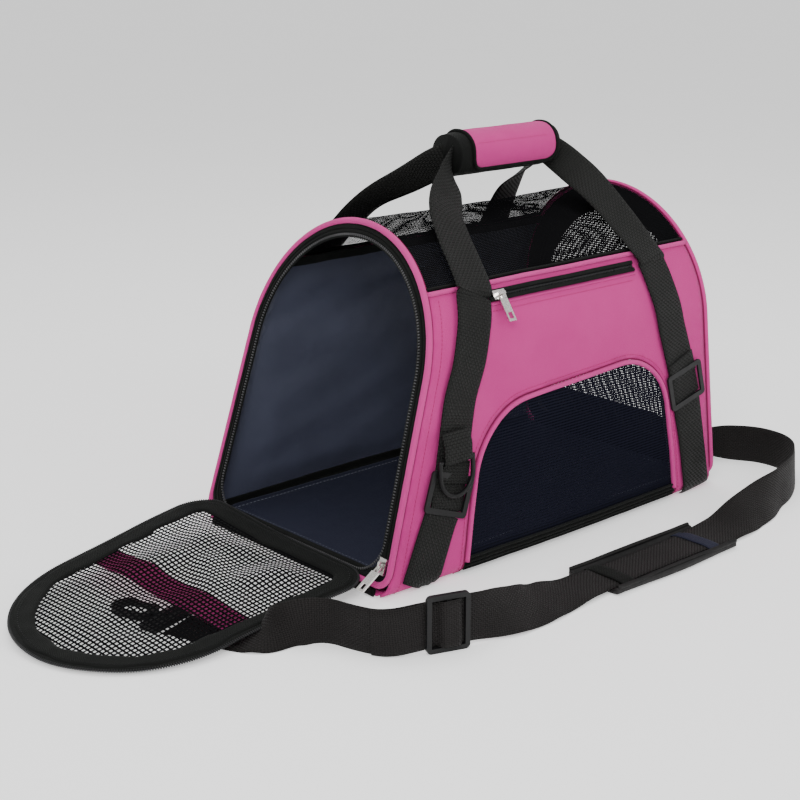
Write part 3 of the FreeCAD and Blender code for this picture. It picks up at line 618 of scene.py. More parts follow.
def patch(outline, holes, step, place, thick, edge_step=None):
    """Closed cloth panel: place(a, b) gives (point, outward); the cloth hangs inwards from it."""
    loops = []
    for loop in [outline] + list(holes):
        pts = [Vector(p) for p in loop]
        even = [tuple(p) for p, _ in march(pts, edge_step or step * 0.8, True)]
        if (Vector(even[-1]) - Vector(even[0])).length < step * 0.25:
            even.pop()
        loops.append(even)
    xs, ys = [p[0] for p in loops[0]], [p[1] for p in loops[0]]
    cells, row, y = [], 0, min(ys) + step * 0.6
    while y < max(ys):
        x = min(xs) + step * (0.5 if row % 2 else 0.0)
        while x < max(xs):
            cells.append((x, y))
            x += step
        y += step * 0.87
        row += 1
    cells = np.array(cells)
    keep = inside(cells, loops[0])
    for hole in loops[1:]:
        keep &= ~inside(cells, hole)
    edge = np.array([p for loop in loops for p in loop])
    cells = cells[keep]
    near = np.array([np.min((edge[:, 0] - c[0]) ** 2 + (edge[:, 1] - c[1]) ** 2) for c in cells])
    cells = cells[near > (step * 0.5) ** 2]
    coords = [Vector(p) for loop in loops for p in loop]
    edges, base = [], 0
    for loop in loops:
        edges += [(base + i, base + (i + 1) % len(loop)) for i in range(len(loop))]
        base += len(loop)
    coords += [Vector(p) for p in cells]
    points, _, tris, *_ = delaunay_2d_cdt(coords, edges, [], 0, 1e-5)
    mid = np.array([sum((points[i] for i in t), Vector((0, 0))) / 3 for t in tris])
    keep = inside(mid, loops[0])
    for hole in loops[1:]:
        keep &= ~inside(mid, hole)
    tris = [tuple(t) for t, k in zip(tris, keep) if k]
    return solid_patch(points, tris, place, thick)


def solid_patch(points, tris, place, thick):
    """Give flat faces a front, a back and a rim."""
    placed = [place(p[0], p[1]) for p in points]
    front = [p for p, _ in placed]
    back = [p - n * (thick(q[0], q[1]) if callable(thick) else thick) for (p, n), q in zip(placed, points)]
    (a, na), b, c = placed[tris[0][0]], front[tris[0][1]], front[tris[0][2]]
    if (b - a).cross(c - a).dot(na) < 0:
        tris = [t[::-1] for t in tris]
    used = {}
    for t in tris:
        for i, j in zip(t, t[1:] + t[:1]):
            used[(i, j)] = used.get((i, j), 0) + 1
    count = len(points)
    faces = list(tris) + [tuple(i + count for i in t[::-1]) for t in tris]
    faces += [(j, i, i + count, j + count) for (i, j) in used if (j, i) not in used]
    flat = [tuple(p) for p in points] * 2
    uvs = [flat[i] for face in faces for i in face]
    return front + back, faces, uvs


def lattice(outline, pitch, width, place):
    """Open net inside an outline: crossing threads of real width, place(a, b) -> point."""
    loop = np.array(outline, float)
    (ax, ay), (bx, by) = loop.min(axis=0), loop.max(axis=0)
    pa, pb = pitch
    nx, ny = int((bx - ax) / pa) + 2, int((by - ay) / pb) + 2
    cells = np.array([(ax + i * pa, ay + j * pb) for j in range(ny) for i in range(nx)])
    keep = inside(cells, loop).reshape(ny, nx)
    wa, wb = width[0] / 2, width[1] / 2
    verts, faces, index = [], [], {}
    for j in range(ny):
        for i in range(nx):
            if keep[j, i]:
                x, y = ax + i * pa, ay + j * pb
                index[(i, j)] = len(verts)
                verts += [(x - wa, y - wb), (x + wa, y - wb), (x + wa, y + wb), (x - wa, y + wb)]
    for (i, j), k in index.items():
        quads = [(k, k + 1, k + 2, k + 3)]
        right, up = index.get((i + 1, j)), index.get((i, j + 1))
        if right is not None:
            quads.append((k + 1, right, right + 3, k + 2))
        if up is not None:
            quads.append((k + 3, k + 2, up + 1, up))
        faces += quads
    return [place(*v) for v in verts], faces, [verts[i] for face in faces for i in face]


# ---- sides: cloth panels, linings, windows ----
def side_outline(depth, z_low, z_high, sign):
    """Closed outline of a side in (x, s) between two heights."""
    zs = spread(z_low, z_high, 50)
    return [(front_x(depth, z), sign * s_at(z)) for z in zs] + \
           [(back_x(depth, z), sign * s_at(z)) for z in reversed(zs)]


def window_hole(grow, sign, low):
    """Closed window outline in (x, s), running on below the panel's bottom edge."""
    line = [(x, sign * s_at(z)) for x, z in window_line(grow)]
    deep = sign * (ARC + WALL + TURN + low)
    return [(line[0][0] - 1, deep)] + line + [(line[-1][0] + 1, deep)]


def make_side(sign, name, holed):
    outer = side_outline(4, 0.4, SEAM_Z, sign)
    parts = patch(outer, [window_hole(5.0, sign, 20)] if holed else [], 6.0,
                  lambda x, s: (skin(x, s, 0), skin_normal(s)), 2.6)
    make("side_cloth_" + name, parts, PINK, ["side_panel_" + name])

    def lined(x, s):
        ends = smooth((x - front_x(6, 80)) / 46) * smooth((back_x(6, 80) - x) / 46)
        ends *= smooth((abs(s) - 112) / 30) * smooth((s_at(8) - abs(s)) / 30)
        rumple = 3.0 * wobble(x * 0.7, s, sign * 7, 66) + 1.5 * wobble(x * 0.4 + s * 0.6, s, 4, 30)
        return skin(x, s, -3.6 - ends * (4.6 - 1.1 * rumple)), skin_normal(s)

    inner = side_outline(6, 7.0, SEAM_Z - 0.5, sign)
    parts = patch(inner, [window_hole(6.0, sign, 40)] if holed else [], 5.0, lined, 0.7)
    make("lining_cloth_" + name, parts, LINING, ["side_lining_" + name])


def inner_tape(name, sign, z, width, out):
    """Black tape that binds an inside seam."""
    path = [(x, sign * s_at(z)) for x in spread(front_x(7, z), back_x(7, z), 80)]
    on_skin(name, path, width, out, 1.0, BINDING, ripple=0.5)


def make_window(sign, name):
    rim = [skin(x, sign * s_at(z), 0.4) for x, z in window_line(2.6, 12.0, 3.0)]
    make("window_pipe_" + name, tube_parts(rim, 2.3, 10), PIPE, ["window_piping"])
    # painted shade: a thin dark pink tube along the seam groove round the window
    groove = [skin(x, sign * s_at(z), 0.15) for x, z in window_line(5.6, 1.0, 3.0)]
    make("window_seam_" + name, tube_parts(groove, 0.55, 6), PINK_SEAM_SHADE)
    seam = [(x, sign * s_at(z)) for x, z in window_line(9.4, 2.0, 3.0)]
    make("window_stitch_" + name, skin_stitches(seam, 0.25), THREAD_PINK)

    outline = [(x, sign * s_at(z)) for x, z in window_line(1.4, 8.0)]
    net = lattice(outline, (1.9, 2.6), (0.85, 1.3), lambda x, s: skin(x, s, -1.0))
    make("window_net_" + name, net, WINDOW_NET, ["window_mesh"])

    ribs = []
    for z, r in ((15.2, 1.3), (11.6, 0.9), (8.4, 0.9), (5.2, 0.9)):
        line = window_line(3.0, z)
        path = [skin(x, sign * s_at(z), 0.3) for x in spread(line[0][0], line[-1][0], 60)]
        ribs.append(tube_parts(path, r, 8))
    low, high = window_line(4.6, 0.4), window_line(4.6, 15.0)
    hem = [(low[0][0], sign * s_at(0.4)), (high[0][0], sign * s_at(15.0)),
           (high[-1][0], sign * s_at(15.0)), (low[-1][0], sign * s_at(0.4))]
    ribs.append(patch(hem, [], 5.0, lambda x, s: (skin(x, s, -0.2), skin_normal(s)), 1.6))
    return join(ribs)


make_side(-1, "near", True)
make_side(1, "far", False)
make("window_hem_cloth", make_window(-1, "near"), BINDING, ["window_hem"])
for sign, name in SIDES:
    inner_tape("inner_roof_tape_" + name, sign, 241.5, 13.0, -7.0)
    inner_tape("inner_floor_tape_" + name, sign, 10.0, 16.0, -8.6)

# stitch line behind the front piping
for sign, name in SIDES:
    path = [(front_x(14, z), sign * s_at(z)) for z in (3 + 4 * i for i in range(59))]
    make("front_edge_stitch_" + name, skin_stitches(path, 0.25), THREAD_PINK)

# ---- roof net and its bound seams ----
round_roof = [-SEAM_S + 2 * SEAM_S * i / 40 for i in range(41)]
roof = [(front_x(1.5, profile(s, 0)[1]), s) for s in round_roof]
roof += [(back_x(1.5, profile(s, 0)[1]), s) for s in reversed(round_roof)]
make("roof_net", lattice(roof, (1.8, 1.8), (0.95, 0.95), lambda x, s: skin(x, s, -0.9)), NET, ["roof_mesh"])
trim = []
for sign in (-1, 1):
    z = SEAM_Z - 1.2
    path = [skin(x, sign * s_at(z), 0.7) for x in spread(front_x(3, z), back_x(3, z), 90)]
    trim.append(tube_parts(path, 2.2, 10))
make("roof_pipe", join(trim), PIPE, ["roof_hems"])
trim = []
for sign in (-1, 1):
    z = SEAM_Z + 2.6
    path = [skin(x, sign * s_at(z), -0.2) for x in spread(front_x(3, z), back_x(3, z), 80)]
    trim.append(tube_parts(path, 1.5, 8))
make("roof_net_edge", join(trim), BINDING)


# ---- base: outer cloth, board, mat, sills ----
def flat_outline(depth, half, z):
    return [(front_x(depth, z), -half), (back_x(depth, z), -half), (back_x(depth, z), half),
            (front_x(depth, z), half)]


parts = patch(flat_outline(4, 112.6, 0), [], 14.0,
              lambda x, y: (Vector((x, y, 0.1 + 0.25 * (1 + wobble(x, y, 0, 60)))), Vector((0, 0, -1))), 2.0)
make("base_cloth", parts, PINK, ["base_panel"])


def mat_top(x, y):
    """Height of the padded mat at a point: stitched round its border, with a rolled edge."""
    low, high = front_x(7, 10), back_x(7, 10)
    edge = min(x - low, high - x, MAT_HALF - abs(y))
    roll = sqrt(max(0.0, 1 - max(0.0, 1 - edge / MAT_ROLL) ** 2))
    seams = min(abs(x - (low + MAT_BORDER)), abs(x - (high - MAT_BORDER)), abs(abs(y) - MAT_SEAM_Y))
    dip = 1.1 * exp(-(seams / 2.2) ** 2)
    return 6.4 + 7.4 * roll - dip + 0.5 * wobble(x, y, 2, 60) + 0.25 * wobble(x, y, 8, 22)


nx, ny = 96, 60
low, high = front_x(7, 10), back_x(7, 10)
rows = []
for x in spread(low, high, nx):
    ys = spread(-MAT_HALF, MAT_HALF, ny)
    top = [Vector((x, y, mat_top(x, y))) for y in ys]
    under = [Vector((x, y, 6.3)) for y in ys]
    rows.append(top + under[::-1])
us, vs = spread(0, high - low, nx), spread(0, 2 * MAT_HALF, ny)
mat_piece = make("floor_mat", grid(rows, us, vs + vs[::-1] + [0], wrap=True, ends=True), PAD_BLUE,
                 ["floor_pad"])
places = []
left, right = low + MAT_BORDER, high - MAT_BORDER
for line in (((left, 1 - MAT_SEAM_Y), (left, MAT_SEAM_Y - 1)), ((left, MAT_SEAM_Y), (right, MAT_SEAM_Y)),
             ((left, -MAT_SEAM_Y), (right, -MAT_SEAM_Y)), ((right, 1 - MAT_SEAM_Y), (right, MAT_SEAM_Y - 1))):
    for p, d in march([Vector(q) for q in line], 4.4):
        places.append((Vector((p.x, p.y, mat_top(p.x, p.y) + 0.2)), Vector((d.x, d.y, 0)), Vector((0, 0, 1))))
make("mat_stitch", stitches(places, 3.2, 0.35), THREAD_PALE)


def sill(name, x_of, node):
    """Bound edge across the foot of an opening."""
    def place(i, f):
        y = -112 + 224 * i / 60
        z = 4.2 + 3.4 * f
        bow = 0.5 * wobble(y, z, 3, 25)
        return Vector((x_of(0.6 + bow, z), y, z)), Vector((-1 if x_of is front_x else 1, 0, 0.1)).normalized()

    return strap(name, 61, 6, place, 3.0, 7.4, BINDING, [node], edge=0.7)


sill("front_sill_binding", front_x, "front_sill")
sill("back_sill_binding", back_x, "back_sill")


def inner_sill(i, f):
    """Tape over the inside of the piping at the foot of the back opening."""
    y, z = -108 + 216 * i / 60, 12.4 + 4.6 * f
    return Vector((back_x(5.6 + 0.3 * wobble(y, z, 3, 25), z), y, z)), Vector((-1, 0, 0))


strap("back_inner_sill_tape", 61, 6, inner_sill, 0.8, 9.2, BINDING)


# ---- both arches: piping, zip tape, teeth ----
def on_plane(x_of, depth, y, z):
    return Vector((x_of(depth, z), y, z))


def ring_strap(name, x_of, inset, bottom, corner, width, depth, thick, nodes=(), ripple=0.0, edge=0.5):
    """Flat black trim that runs round an arch in its plane."""
    line = arch_line(inset, bottom, corner)
    n = len(line)
    out = outward_of(x_of)

    def place(i, f):
        a, b, c = (Vector(line[(i + k) % n]) for k in (-1, 0, 1))
        d = (c - a).normalized()
        p = b + Vector((-d.y, d.x)) * (f * width / 2)
        r = ripple * wobble(p.x, p.y, f * 6, 16)
        return on_plane(x_of, depth - thick / 2 + r, p.x, p.y), out

    return strap(name, n, 6, place, thick, width, BINDING, nodes, loop=True, edge=edge)


for name, x_of in (("front", front_x), ("back", back_x)):
    far_set = PIPE_SET_BACK if x_of is front_x else 0.0
    line = [on_plane(x_of, 1.0 + far_set * smooth((y + 10) / 80), y, z)
            for y, z in arch_line(0.5, 10.3, 12.5, 3.0)]
    make(name + "_pipe", tube_parts(line, lambda i: PIPE_R + 0.12 * wobble(i, 0, 0, 3), 12, True), PIPE,
         [name + "_piping"])
    # painted shade: a thin dark pink tube in the seam behind the arch piping
    line = [on_plane(x_of, 3.6, y, z) for y, z in arch_line(-0.3, 9.4, 12.5, 3.0)]
    make(name + "_pipe_seam", tube_parts(line, 0.8, 6, True), PINK_SEAM_SHADE)
    start, wide = (1.6, 12.6) if x_of is front_x else (0.8, 16.8)
    ring_strap(name + "_tape", x_of, start + wide / 2, 7 + start + wide / 2, 18, wide, 1.5, 1.1,
               [name + "_zip_tape"], 0.25)
    for k, (inset, width) in enumerate(((5.2, 2.6), (8.6, 2.0))):
        ring_strap("%s_tape_ridge_%d" % (name, k), x_of, inset, 12.8 + inset * 0.4, 14 + inset * 0.5, width,
                   0.9, 1.2, edge=0.9)
    line = [on_plane(x_of, 0.3, y, z) for y, z in arch_line(11.6, 16.8, 29.0, 3.0)]
    up = outward_of(x_of)
    tooth = [(p, d, d.cross(up).normalized(), up) for p, d in march(line, 2.5, True)]
    # the arch teeth take the lighter copy of the tooth plastic, with highlight painted into its colour
    make(name + "_arch_teeth", teeth(tooth, 1.2, 2.4, 1.2), TEETH_LIT)


# ---- doors ----
def swung(p):
    """A point of the shut front door, turned to where the open door lies."""
    return Matrix.Rotation(-DOOR_OPEN, 3, HINGE_AXIS) @ (p - HINGE) + HINGE


def door_rise(p):
    """The open flap's own drape: pulled to one side, the far edge lifted by the hinge, low folds."""
    reach = max(0.0, -205 - p.x)
    far = smooth((p.y + 20) / 120)
    lift = 8.0 * far * smooth(reach / 20) * exp(-reach / 90)
    lift -= 2.2 * smooth((reach - 120) / 120)
    lift += 1.3 * wobble(p.x, p.y, 1, 60) * smooth(reach / 60)
    return Vector((0, -8.0 * smooth(reach / 300) - 3 * far * smooth(reach / 260), lift))


FOLDS = (((-235, 58), (-290, 28), 5.0, 17.0), ((-300, 26), (-360, 30), 4.5, 18.0),
         ((-292, 6), (-325, -44), 5.0, 15.0), ((-340, -42), (-405, -22), 3.6, 17.0),
         ((-258, -56), (-300, -46), 4.0, 16.0), ((-244, -14), (-276, 14), 3.0, 16.0))


def door_folds(p, depth):
    """Slack net: soft ridges across the middle, none at the binding."""
    slack = smooth(depth / 34)
    ridges = 0.0
    for (x0, y0), (x1, y1), high, wide in FOLDS:
        a, b, q = Vector((x0, y0)), Vector((x1, y1)), Vector((p.x, p.y))
        t = (q - a).dot(b - a) / (b - a).length_squared
        off = (q - a.lerp(b, t)).length / wide
        along = max(0.0, abs(t - 0.5) - 0.25) / 0.42
        ridges += (high * exp(-off * off - along * along)) ** 2
    return (2.0 * (1 + wobble(p.x, p.y, 6, 46)) + sqrt(ridges)) * slack


def rim_depth(y, z):
    """How far inside the door's outline a point of its plane is."""
    top = TOP_R - DOOR_INSET
    if z > CROWN_Z + top * sin(TAPER):
        edge = top - hypot(y, z - CROWN_Z)
    else:
        edge = (top - (z - CROWN_Z) * sin(TAPER)) / cos(TAPER) - abs(y)
    return min(edge, z - DOOR_BOTTOM)


def front_door(y, z, out=0.0, slack=0.0):
    """Point of the open front door; out is towards what is its outer face when shut."""
    flat = Vector((front_x(-DOOR_OUT - out, z), y, z))
    p = swung(flat)
    p = p + door_rise(p)
    if slack:
        p.z += slack * door_folds(p, rim_depth(y, z) - 16)
    p.z = max(p.z, 2.3 - out)
    return p


def back_door(y, z, out=0.0, slack=0.0):
    bulge = 5.0 * smooth(rim_depth(y, z) / 70) + 1.6 * smooth(rim_depth(y, z) / 12)
    return Vector((back_x(-DOOR_OUT - out - bulge, z), y, z))


PITCH = {"front": (4.2, 4.2), "back": (2.4, 2.4)}
THREAD = {"front": (1.95, 1.95), "back": (1.35, 1.35)}


def make_door(name, body, place):
    """Zip teeth, bound rim and net of one door."""
    def facing(y, z):
        a, b, c = place(y, z), place(y + 1, z), place(y, z + 1)
        return (b - a).cross(c - a).normalized()

    def ring(label, inset, width, thick, node, ripple, edge, puff=0.0):
        line = arch_line(DOOR_INSET + inset, DOOR_BOTTOM + inset, max(DOOR_CORNER - inset, 6))
        n = len(line)

        def at(i, f):
            a, b, c = (Vector(line[(i + k) % n]) for k in (-1, 0, 1))
            d = (c - a).normalized()
            wide = width / 2 * (1 + (ripple * wobble(b.x, b.y, 2, 21) if f < 0 or f > 0.5 else 0))
            p = b + Vector((-d.y, d.x)) * (f * wide)
            wave = puff * wobble(p.x, p.y, 5, 12)
            return place(p.x, p.y, wave), facing(p.x, p.y)

        return strap(label, n, 8, at, thick, width, BINDING, [node], body, loop=True, edge=edge)

    ring(name + "_door_tape", 2.2, 5.2, 1.3, name + "_door_zip", 0, 0.4)
    inset, wide = (11.4, 17.0) if name == "front" else (9.0, 12.0)
    ring(name + "_door_rim", inset, wide, 3.2, name + "_door_binding", 0.3, 0.8, 0.5)

    def along(inset, corner, pitch):
        """Evenly spaced (point, direction, outward) round the door."""
        flat = arch_line(DOOR_INSET + inset, DOOR_BOTTOM + inset, corner, 3.0)
        line = [place(y, z) for y, z in flat]
        ups, total, k, out = [facing(y, z) for y, z in flat], distances(line, True), 0, []
        for step, (p, d) in enumerate(march(line, pitch, True)):
            while k < len(ups) - 1 and total[k + 1] < step * pitch:
                k += 1
            out.append((p, d, ups[k]))
        return out

    places = [(p, d, d.cross(up).normalized(), up) for p, d, up in along(-0.2, DOOR_CORNER, 2.0)]
    make(name + "_door_teeth", teeth(places, 1.2, 2.4, 1.7), TEETH_DARK, body=body)
    places = [(p + up * 1.75, d, up) for p, d, up in along(6.6, DOOR_CORNER - 6, 3.4)]
    make(name + "_door_stitch", stitches(places, 2.5, 0.3), THREAD_BLACK, body=body)
    outline = arch_line(DOOR_INSET + 12, DOOR_BOTTOM + 12, DOOR_CORNER - 12)
    make(name + "_door_net", lattice(outline, PITCH[name], THREAD[name], lambda y, z: place(y, z, 0, 1.0)),
         NET, [name + "_door_mesh"], body=body)


make_door("front", "front_door", front_door)
make_door("back", "back_door", back_door)


def band_place(y, z):
    p = front_door(y, z, 0.0, 0.55)
    q = Vector((0, 0, -1.6))
    return p + q, Vector((0, 0, 1))


band = [(-99, 128), (99, 128), (98, 155), (-98, 155)]
make("door_band_cloth", patch(band, [], 5.0, band_place, 0.6), PINK, ["front_door_band"], body="front_door")

# ---- pocket zip ----
path = [(x, -s_at(POCKET_TAPE_Z)) for x in spread(POCKET_X0, POCKET_X1, 70)]
on_skin("pocket_tape_cloth", path, 10.4, 0.1, 0.9, BINDING, ["pocket_zip_tape"], ripple=0.2)
for k, (z, width, thick) in enumerate(((231.9, 3.4, 1.7), (226.2, 3.2, 1.5))):
    path = [(x, -s_at(z)) for x in spread(POCKET_X0, POCKET_X1, 70)]
    on_skin("pocket_tape_lip_%d" % k, path, width, 0.9, thick, BINDING, ripple=0.25)
teeth_s = -s_at(POCKET_TEETH_Z)
line = [skin(x, teeth_s, 1.3) for x in spread(POCKET_X0 + 12, POCKET_X1 - 2, 60)]
up = skin_normal(teeth_s)
places = [(p, d, d.cross(up).normalized(), up) for p, d in march(line, 1.9)]
make("pocket_teeth", teeth(places, 1.2, 2.4, 1.0), TEETH_DARK)
seam = [(x, -s_at(217.5)) for x in spread(POCKET_X0 + 2, POCKET_X1 - 4, 60)]
make("pocket_stitch", skin_stitches(seam, 0.25), THREAD_PINK)
welt = [skin(x, -s_at(222.8), 0.3) for x in spread(POCKET_X0, POCKET_X1, 60)]
make("pocket_welt", tube_parts(welt, 1.3, 8), PINK)
bag_rows = patch([(-78, -s_at(162)), (112, -s_at(162)), (112, -s_at(232)), (-78, -s_at(232))], [], 9.0,
                 lambda x, s: (skin(x, s, -3.0), skin_normal(s)), 0.5)
make("pocket_pouch", bag_rows, LINING, ["pocket_bag"])


# ---- webbing on the sides, handle, grip ----
FRONT_WEB = [(-181, 0.6), (-143, 76), (-126, 152), (-90, 241)]
BACK_WEB = [(187, 0.6), (167, 110), (149, 165), (131, 237)]


def web_path(points, sign, step=4.0):
    keys = [(x, sign * s_at(z)) for x, z in points]
    fine = curve_through(keys, 60 * (len(keys) - 1))
    return [p for p, _ in march([Vector(q) for q in fine], step)]


def leg(web, elbows, sign):
    """Webbing from its ring up the side, over the roof edge and on to the grip, where it is on edge."""
    (x1, z1), (x2, z2), (x3, z3) = web[1:]
    t = -14.5 / hypot(x2 - x1, z2 - z1)
    low = [(x1 + (x2 - x1) * t, z1 + (z2 - z1) * t, 2.1), ((x1 + x2) / 2, (z1 + z2) / 2, 2.1), (x2, z2, 2.1)]
    low += [(x2 + (x3 - x2) * k, z2 + (z3 - z2) * k, out)
            for k, out in ((0.35, 2.1), (0.68, 2.2), (0.88, 3.2), (1.0, 5.0))]
    keys = [tuple(skin(x, -s_at(z), out)) + (1, 0.05, 0, WEB_W) for x, z, out in low]
    keys += [e[:3] + e[3] + (e[4],) for e in elbows]
    fine = curve_through(keys, 150)
    pts = [Vector(k[:3]) for k in fine]

    def place(i, f):
        d = heading(pts, i)
        a = Vector(fine[i][3:6])
        a = (a - d * a.dot(d)).normalized()
        n = d.cross(a)
        loose = smooth((pts[i].z - 236) / 12)
        cup = 0.9 * (1 - f * f) * loose
        rough = (0.12 + 0.3 * loose) * wobble(pts[i].x, pts[i].z + 9 * f, 2, 14)
        p = pts[i] + a * (f * fine[i][6] / 2) + n * (cup + rough)
        if sign > 0:
            return Vector((p.x, -p.y, p.z)), Vector((n.x, -n.y, n.z))
        return p, n

    return slab_rows(len(pts), 8, place, WEB_T), pts


FRONT_ELBOWS = [(-77, -52, 290, (0.93, -0.22, -0.42), 38.0), (-47, -24, 313, (0.7, -0.12, -0.75), 34.0),
                (-26, -5.0, 329, (0.1, 0.15, -1.0), 27.0), (-8, -3.2, 332.5, (0, 0, -1), 25.0)]
BACK_ELBOWS = [(113, -58, 288.5, (1, 0.05, 0.35), 36.0), (106, -26, 312, (0.75, 0.1, 0.8), 32.0),
               (95, -5.0, 328, (0.1, 0.15, 1.0), 27.0), (78, -3.2, 332.5, (0, 0, 1), 25.0)]
for sign, name in SIDES:
    rows_all = []
    for web, elbows in ((FRONT_WEB, FRONT_ELBOWS), (BACK_WEB, BACK_ELBOWS)):
        rows, pts = leg(web, elbows, sign)
        us = distances(pts)
        half = [WEB_W * k / 8 for k in range(9)]
        rows_all.append(grid(rows, us, half + half[::-1] + [0], wrap=True, ends=True))
    make("handle_webbing_" + name, join(rows_all), WEBBING, ["handle_web_" + name])
    for web, end in ((FRONT_WEB, "front"), (BACK_WEB, "back")):
        (x0, z0), (x1, z1), (x2, z2), (x3, z3) = web
        t = 12 / z1
        down = (x1 + (x0 - x1) * t, z1 + (z0 - z1) * t)
        foot = (x0 + (x1 - x0) * 4.5 / z1, 4.5)
        path = web_path([foot, ((x0 + down[0]) / 2, (z0 + down[1]) / 2), down], sign)
        nodes = ["anchor_webs_" + name] if end == "front" else []
        on_skin("anchor_webbing_%s_%s" % (name, end), path, WEB_W, 1.4, WEB_T, WEBBING, nodes, ripple=0.25)
        # the end of the webbing, folded back up over itself above the ring
        lean = Vector((x2 - x1, z2 - z1)).normalized()
        path = web_path([(x1 + lean.x * v, z1 + lean.y * v) for v in (9.0, 19.5, 30.0)], sign, 2.0)
        on_skin("web_fold_upper_%s_%s" % (name, end), path, WEB_W - 1.5, 2.8, 1.3, WEBBING, ripple=0.15)


# ---- the padded grip ----
def grip_shape(x, angle, out=0.0):
    """Point of the rolled grip: a plump roll pinched below, where its two edges meet."""
    t = (x - GX0) / (GX1 - GX0)
    end = smooth(min(t, 1 - t) * 14)
    ry = GRIP_RY * (0.955 + 0.045 * end) + out
    rz = GRIP_RZ * (0.955 + 0.045 * end) + out
    c, s = cos(angle), sin(angle)
    squeeze = 1 - 0.03 * max(0.0, -s) ** 2
    z = GZ + 0.2 + rz * (abs(s) ** 0.92) * (1 if s > 0 else -1) * squeeze
    y = ry * (abs(c) ** 0.9) * (1 if c > 0 else -1)
    lump = 0.55 * wobble(x, angle * 20, 3, 22) + 0.3 * wobble(x, angle * 20, 8, 9)
    return Vector((x, y * (1 + lump * 0.02), z + lump * (0.6 if s > 0 else 0.3)))


rows = []
for i in range(57):
    x = GX0 - 0.8 + (GX1 - GX0 + 1.6) * i / 56
    rows.append([grip_shape(x, 2 * pi * k / 56) for k in range(56)])
vs = [2.0 * k for k in range(57)]
grip = make("grip_padding", grid(rows, [123 * i / 56 for i in range(57)], vs, wrap=True, ends=True),
            BINDING, ["grip_cover"])


def grip_panel(a, b):
    """Point of the pink top panel: a runs along the grip, b round it from the crown, in millimetres."""
    angle = pi / 2 + b / GRIP_PANEL_R
    p = grip_shape(a, angle, 1.3)
    q = grip_shape(a, angle, 2.3)
    return p, (q - p).normalized()


corner = rounded_line([(30, -34), (GX0 + 15, -34), (GX0 + 13, 43), (GX1 - 6, 43), (GX1 - 5, -34), (30, -34)],
                      [13, 13, 13, 13], 2.0)[:-1]
make("grip_top_cloth", patch(corner, [], 3.0, grip_panel, 1.5), PINK)
edge = [grip_panel(a, b)[0] for a, b in corner]
make("grip_top_binding", tube_parts(edge, 1.5, 8, True), BINDING)
for k, b in enumerate((-20.5, 20.5)):
    places = []
    for p, d in march([Vector((GX0 + 22, b)), Vector((GX1 - 18, b))], 4.4):
        q, n = grip_panel(p.x, p.y)
        places.append((q + n * 0.1, Vector((1, 0, 0)), n))
    make("grip_stitch_%d" % k, stitches(places, 3.0, 0.3), THREAD_PINK)
seam = [grip_shape(GX0 + 2 + (GX1 - GX0 - 4) * i / 40, -pi / 2, 0.4) for i in range(41)]
make("grip_closing_seam", tube_parts(seam, 1.2, 8), BINDING)

# ---- D-ring tabs: webbing folded over the bar and sewn down ----
D_FRONT, D_BACK = (-136.5, -128.262, 106.375), (160.0, 126.562, 140.375)
for name, (px, py, pz), sign in (("front", D_FRONT, -1), ("back", D_BACK, 1)):
    s_mid = sign * s_at(pz)
    n = skin_normal(s_mid)
    t = Vector((0, -copysign(sin(TAPER), py), cos(TAPER)))
    centre = Vector((px, py, pz))
    keys = []
    for k in range(13):
        a = pi * 0.5 + pi * (k - 1) / 10
        keys.append(centre + n * (TAB_BEND * sin(a)) + t * (TAB_BEND * cos(a)))
    front = [centre + n * 2.6 + t * v for v in (24, 18, 12, 6)]
    back = [centre - n * TAB_BEND + t * v for v in (6, 12, 18, 24)]
    front[0] = front[0] - n * 3.4
    front[1] = front[1] - n * 1.6
    route = curve_through([tuple(p) for p in front + keys[1:12] + back], 70)
    pts = [Vector(p) for p in route]

    def place(i, f):
        d = heading(pts, i)
        across = Vector((1, 0, 0))
        return pts[i] + across * (f * TAB_HALF), d.cross(across).normalized()

    strap("d_ring_tab_%s_fold" % name, len(pts), 6, place, 1.2, 2 * TAB_HALF, WEBBING, ["d_ring_tab_" + name])

# ---- shoulder strap ----
# control points: x, y, z and the direction across the strap
ROUTE = [
    ((160, 152.3, 62.9), (0, 1, 0)), ((161, 154.5, 43), (0, 1, 0)), ((172, 157, 20.5), (0.1, 1, 0.1)),
    ((196, 158.5, 19.2), (0, 0.5, 0.9)), ((214, 157, 19.2), (0, 0, 1)), ((246, 146, 19.2), (0, 0, 1)),
    ((260, 112, 19.2), (0, 0, 1)), ((259, 60, 19.2), (0, 0, 1)), ((260, -8, 19.2), (0, 0, 1)),
    ((264, -56, 13.5), (-0.6, 0, 0.8)), ((288, -96, 19.2), (0, 0, 1)), ((303, -122, 19.2), (0, 0, 1)),
    ((298, -158, 19.2), (0, 0, 1)), ((262, -190, 19.2), (0, 0.1, 1)), ((215, -207, 19), (0, 0.2, 1)),
    ((160, -216, 15.5), (0, 0.7, 0.75)), ((112, -217, 5.2), (0, 1, 0.2)), ((60, -217, 4.7), (0, 1, 0)),
    ((-20, -217, 4.7), (0, 1, 0)), ((-82, -218, 5.2), (0, 1, 0.1)), ((-128, -226, 10.5), (0, 0.9, 0.45)),
    ((-165, -234, 16.8), (0, 0.62, 0.8)), ((-214, -229.5, 23.2), (0, 0.12, 1)),
    ((-250, -217.5, 23.6), (0, 0, 1)), ((-281, -202, 19.2), (0, 0, 1)), ((-291, -178, 19.2), (0, 0, 1)),
    ((-297, -152, 19.2), (0, 0, 1)), ((-318, -141, 19.2), (0.1, 0.1, 1)),
    ((-343, -114, 3), (0.9, 0.5, 0.25)), ((-350, -92, 0.95), (1, 0.3, 0)), ((-361, -58, 1), (1, 0.3, 0)),
    ((-364, -50.5, 1), (1, 0.3, 0)),
]
curve = bpy.data.curves.new("strap_line", "CURVE")
